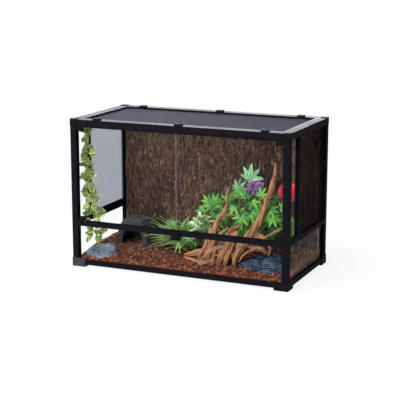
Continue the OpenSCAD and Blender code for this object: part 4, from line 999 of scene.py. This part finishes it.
# hanging vine: a swinging stem with broad two-tone leaves
vineSet = {"leaves": 76, "small": 0.026, "large": 0.041, "seed": 12, "strands": 3, "strand": 0.0013,
           "loop": 0.001, "wind": 3.5, "top": 0.06, "topSize": 0.8, "paneAt": -0.434, "least": -0.4368,
           "path": [(-424, -150, 556), (-420, -152, 455), (-412, -154, 360), (-402, -154, 276),
                    (-388, -157, 186), (-377, -160, 112)],
           "loops": [[(-404, -160, 262), (-366, -164, 250), (-334, -166, 214), (-352, -164, 188),
                      (-380, -162, 184)],
                     [(-392, -162, 176), (-362, -166, 152), (-340, -168, 128)],
                     [(-362, -166, 152), (-348, -166, 164), (-338, -166, 172)]]}
rng = random.Random(vineSet["seed"])
bm = plantMesh()
stem = curve([mm(*p) for p in vineSet["path"]], 12)
for strand in range(vineSet["strands"]):
    turn = strand * 2.1
    winds = [mm(math.cos(k * 0.55 + turn), math.sin(k * 0.4 + turn), 0) for k in range(len(stem))]
    stalk(bm, [p + wind * vineSet["wind"] for p, wind in zip(stem, winds)], vineSet["strand"])
for loop in vineSet["loops"]:
    stalk(bm, curve([mm(*p) for p in loop]), vineSet["loop"])
vineKinds = [leafTemplate(0.64, 0.4, droop, 0.22, 0.1, blunt=0.7) for droop in (0.04, 0.16, 0.3)]
for i in range(vineSet["leaves"]):
    share = (i + 0.3) / vineSet["leaves"]
    point = stem[min(len(stem) - 1, int(share * len(stem)))]
    way = 1 if i % 2 else -1
    size = rng.uniform(vineSet["small"], vineSet["large"])
    size *= 1 if share > vineSet["top"] else vineSet["topSize"]
    out = Vector((way * rng.uniform(0.35, 1), rng.uniform(-0.9, 0.1), 0)).normalized()
    start = point + out * rng.uniform(0.003, 0.017) + Vector((0, 0, rng.uniform(-0.006, 0.006)))
    along = (out + Vector((0, 0, rng.uniform(-1.1, 0.45)))).normalized()
    past = vineSet["paneAt"] - (start + along * size).x  # a leaf that would pass the pane turns back
    if past > 0:
        start.x += min(0.02, past)
        along.x *= 0.6
    face = Vector((0.35 + 0.3 * way, -0.85, rng.uniform(0.1, 0.8)))
    stamp(bm, rng.choice(vineKinds), lookAlong(start, along, face, size))
for v in bm.verts:
    v.co.x = max(v.co.x, vineSet["least"])
keepPiece("hangingVine", bm, "vine_leaf", ["hanging_vine"])

# grass tuft: arching blades from five crowns, and a few long ones to the left
grassSet = {"blades": 310, "short": 0.06, "long": 0.128, "width": 0.0072, "thick": 0.0006, "seed": 21,
            "crowns": [(-112, -2, 66), (-84, 14, 72), (-50, 4, 78), (-22, -12, 68), (-66, -26, 62)],
            "crown": 8, "strayWidth": 0.005,
            "strays": [((-96, -10, 128), (-180, -32, 158), 0.3), ((-92, -14, 112), (-184, -36, 138), 0.3),
                       ((-104, -50, 92), (-204, -62, 96), 0.35), ((-80, 0, 118), (-150, -40, 166), 0.4)]}


def blade(bm, foot, way, length, width, droop):
    up = Vector((0, 0, 1)) + way * 0.3
    kind = leafTemplate(width / length, widest=0.42, droop=droop, cup=0.3, rows=8, columns=2,
                        thick=grassSet["thick"] / length)
    stamp(bm, kind, lookAlong(foot, way, up, length))
    bpy.data.meshes.remove(kind)


rng = random.Random(grassSet["seed"])
bm = plantMesh()
for i in range(grassSet["blades"]):
    crown = mm(*grassSet["crowns"][i % len(grassSet["crowns"])])
    turn = rng.uniform(0, math.tau)
    way = Vector((math.cos(turn), math.sin(turn) * 0.8 - 0.15, rng.uniform(0.15, 1.9))).normalized()
    around = Vector((math.cos(turn), math.sin(turn), 0)) * grassSet["crown"]
    foot = crown + mm(around.x, around.y, rng.uniform(-4, 44))
    width = grassSet["width"] * rng.uniform(0.7, 1.3)
    blade(bm, foot, way, rng.uniform(grassSet["short"], grassSet["long"]), width, rng.uniform(0.15, 0.6))
for foot, tip, droop in grassSet["strays"]:
    way = mm(*tip) - mm(*foot)
    blade(bm, mm(*foot), way, way.length, grassSet["strayWidth"], droop)
keepPiece("grassTuft", bm, "grass_leaf", ["grass_tuft"])

# leafy plant: star-shaped leaves that face outwards and up on arching stalks, and ones behind them that take
# a darker copy of their colours as painted shade
leafySet = {"root": (150, 20, 56), "stalk": 0.0013, "sideStalk": 0.0009, "behind": 40, "seed": 5}
leafyLeaves = [  # place, size, tip direction, face direction
    (157, -32, 257, 47, (-0.2, -0.3, -0.75), (-0.1, -0.9, 0.5)),
    (202, -72, 226, 52, (0.1, -0.3, -0.95), (0.1, -0.95, 0.35)),
    (227, -22, 277, 46, (0.5, -0.3, -0.3), (0.1, -0.8, 0.7)),
    (194, 0, 288, 40, (-0.2, -0.1, 0.7), (0, -0.8, 0.6)),
    (94, 0, 249, 44, (-0.6, -0.2, 0.3), (0, -0.7, 0.8)),
    (51, 0, 237, 44, (-0.8, -0.2, 0.1), (-0.2, -0.7, 0.8)),
    (22, -10, 226, 42, (-0.9, -0.3, -0.1), (-0.3, -0.7, 0.8)),
    (252, -20, 256, 46, (0.7, -0.2, -0.4), (0.2, -0.8, 0.6)),
    (256, 0, 300, 40, (0.4, 0, 0.7), (0.1, -0.8, 0.5)),
    (130, -30, 230, 46, (-0.5, -0.4, -0.6), (-0.1, -0.9, 0.5)),
    (301, -20, 252, 44, (0.8, -0.1, -0.1), (0.2, -0.8, 0.6)),
    (338, 0, 262, 42, (0.8, 0, 0.4), (0.2, -0.8, 0.6)),
    (313, -28, 226, 46, (0.5, -0.2, -0.8), (0.2, -0.9, 0.4)),
    (120, 10, 268, 42, (-0.3, 0, 0.8), (0, -0.8, 0.5)),
    (72, -10, 262, 38, (-0.4, 0, 0.8), (-0.1, -0.8, 0.5)),
    (36, 0, 256, 36, (-0.6, 0, 0.7), (-0.2, -0.8, 0.5)),
    (178, -20, 240, 44, (0, -0.2, -0.8), (0, -0.9, 0.5)),
    (232, -44, 234, 46, (0.4, -0.2, -0.8), (0.1, -0.9, 0.5)),
    (278, 6, 276, 40, (0.5, 0, 0.6), (0.2, -0.8, 0.5)),
    (284, 12, 226, 44, (0.3, -0.1, -0.8), (0.2, -0.9, 0.4)),
    (160, 16, 292, 38, (-0.4, 0, 0.8), (0, -0.8, 0.5)),
    (210, 22, 300, 36, (0.2, 0, 0.9), (0.1, -0.8, 0.5)),
    (392, 2, 214, 60, (0.1, -0.3, -0.95), (0.8, -0.6, 0.2)),
    (64, 14, 208, 42, (-0.7, -0.2, -0.4), (-0.2, -0.8, 0.6)),
    (104, -16, 214, 40, (-0.3, -0.3, -0.8), (-0.1, -0.9, 0.5)),
    (340, 24, 214, 42, (0.5, 0, -0.7), (0.3, -0.8, 0.4)),
]
rng = random.Random(leafySet["seed"])
root = mm(*leafySet["root"])
stars = [starTemplate(7, 0.27, 2.15, droop) for droop in (0.12, 0.26)] + [starTemplate(5, 0.3, 1.7, 0.2)]
bm = plantMesh()
for x, y, z, size, tipWay, faceWay in leafyLeaves:
    place = mm(x, y, z)
    bend = (place + root) / 2 + Vector((0, 0.01, -0.012))
    start = root + Vector(((x - leafySet["root"][0]) / 6000, 0, 0))
    stalk(bm, curve([start, bend, place], 4), leafySet["stalk"])
    stamp(bm, rng.choice(stars), lookAlong(place, tipWay, faceWay, size / 1000))
stalk(bm, curve([mm(300, -20, 270), mm(338, -42, 238), mm(362, -57, 200)], 5), leafySet["sideStalk"])
keepPiece("leafyPlant", bm, "broad_leaf", ["leafy_plant"])
bm = plantMesh()
for i in range(leafySet["behind"]):
    x, y, z = rng.uniform(12, 330), rng.uniform(18, 74), rng.uniform(112, 282)
    z -= max(0, 90 - x) * 0.6
    place = mm(x, y, z)
    bend = (place + root) / 2 + Vector((0, 0.012, -0.01))
    start = root + Vector(((x - leafySet["root"][0]) / 5000, 0.01, 0))
    stalk(bm, curve([start, bend, place], 4), leafySet["stalk"])
    tipWay = (rng.uniform(-0.8, 0.8), rng.uniform(-0.5, 0), rng.uniform(-0.9, 0.6))
    kind = rng.choice(stars)
    faceWay = (rng.uniform(-0.3, 0.3), -0.9, 0.5)
    stamp(bm, kind, lookAlong(place, tipWay, faceWay, rng.uniform(0.036, 0.048)))
keepPiece("shadedLeaves", bm, "painted_shade_leaf")

# pale stars above the driftwood, and the frosted sprig that hangs over it
paleSet = {"stalk": 0.0014, "foot": 60, "leaves": [  # place, size, tip direction, face direction
    (192, 56, 352, 62, (0.05, -0.05, 1), (0, -0.95, 0.25)),
    (192, 54, 351, 56, (0.8, -0.1, 0.1), (0.1, -0.9, 0.35)),
    (150, 38, 312, 44, (0.1, -0.05, 1), (-0.1, -0.95, 0.25)),
    (150, 36, 311, 42, (-0.6, -0.1, -0.7), (-0.1, -0.9, 0.35)),
]}
bm = plantMesh()
paleStars = [starTemplate(7, 0.3, 2.0, 0.1, 0.1), starTemplate(5, 0.32, 1.7, 0.16, 0.1)]
for i, (x, y, z, size, tipWay, faceWay) in enumerate(paleSet["leaves"]):
    place, foot = mm(x, y, z), paleSet["foot"]
    stalk(bm, curve([mm(x, y + 10, foot), mm(x, y + 14, (z + foot) / 2), place], 5), paleSet["stalk"])
    stamp(bm, paleStars[i % 2], lookAlong(place, tipWay, faceWay, size / 1000))
keepPiece("paleStars", bm, "pale_leaf", ["pale_plant"])

sprigSet = {"leaves": 64, "bare": 5, "short": 0.026, "long": 0.038, "seed": 8,
            "path": [(48, -8, 60), (44, -16, 150), (28, -36, 206), (8, -58, 180), (-6, -70, 120)]}
rng = random.Random(sprigSet["seed"])
bm = plantMesh()
sprig = curve([mm(*p) for p in sprigSet["path"]], 5)
stalk(bm, sprig, paleSet["stalk"])
sprigKinds = [leafTemplate(0.3, 0.4, droop, 0.3) for droop in (0.1, 0.3)]
for i in range(sprigSet["leaves"]):
    place = sprig[sprigSet["bare"] + i % (len(sprig) - sprigSet["bare"])]
    turn = rng.uniform(0, math.tau)
    way = Vector((math.cos(turn), math.sin(turn) * 0.6 - 0.3, rng.uniform(-0.7, 0.5)))
    size = rng.uniform(sprigSet["short"], sprigSet["long"])
    kind = rng.choice(sprigKinds)
    stamp(bm, kind, lookAlong(place, way, (rng.uniform(-0.4, 0.4), -0.8, 0.7), size))
keepPiece("frostedSprig", bm, "frosted_leaf")

# flowers: rings of petals that close towards the middle
# each head is its place, its size, the petals in a ring and the number of rings
bloomSet = {
    "redBlooms": {"finish": "red_petal", "node": "red_flower", "root": (352, 106), "openness": 1.5,
                  "heads": [(338, 84, 301, 44, 12, 7), (250, 34, 268, 18, 7, 3), (322, 104, 292, 30, 9, 5),
                            (366, 92, 312, 30, 9, 5)]},
    "purpleBlooms": {"finish": "purple_petal", "node": "purple_flowers", "root": (214, 62), "openness": 1.25,
                     "heads": [(215, 18, 331, 24, 6, 2), (244, 18, 332, 22, 6, 2), (203, 18, 305, 22, 6, 2),
                               (226, 22, 312, 20, 6, 2)]},
}
bloomShape = {"facing": (0.1, -0.9, 0.4), "closing": 0.85, "shrinking": 0.35, "stalk": 0.0013, "foot": 60}
petalKinds = [leafTemplate(0.95, 0.62, droop, 0.5, wave, rows=6, columns=5, blunt=0.5)
              for droop, wave in ((0.1, 0.2), (-0.15, 0.3))]


def bloom(bm, middle, size, petals, rings, openness):
    face = Vector(bloomShape["facing"]).normalized()
    sideways = face.cross(Vector((0.2, 0.1, 1))).normalized()
    for ring in range(rings):
        share = ring / max(1, rings - 1)
        lean = openness * (1 - bloomShape["closing"] * share)
        grow = size * (1 - bloomShape["shrinking"] * share)
        for i in range(petals):
            turn = math.tau * (i + ring * 0.5) / petals
            out = Matrix.Rotation(turn, 3, face) @ sideways
            way = out * math.sin(lean) + face * math.cos(lean)
            kind = petalKinds[(i + ring) % len(petalKinds)]
            stamp(bm, kind, lookAlong(middle - face * size * 0.1, way, face - out * 0.2, grow))


stems = plantMesh()
for name, flower in bloomSet.items():
    rootX, rootY = flower["root"]
    bm = plantMesh()
    for x, y, z, size, petals, rings in flower["heads"]:
        bend = mm((x + rootX) / 2, (y + rootY) / 2, z * 0.6)
        stalk(stems, curve([mm(rootX, rootY, bloomShape["foot"]), bend, mm(x, y, z)], 5), bloomShape["stalk"])
        bloom(bm, mm(x, y, z), size / 1000, petals, rings, flower["openness"])
    keepPiece(name, bm, flower["finish"], [flower["node"]])
keepPiece("bloomStems", stems, "broad_leaf")
print("plants ready")
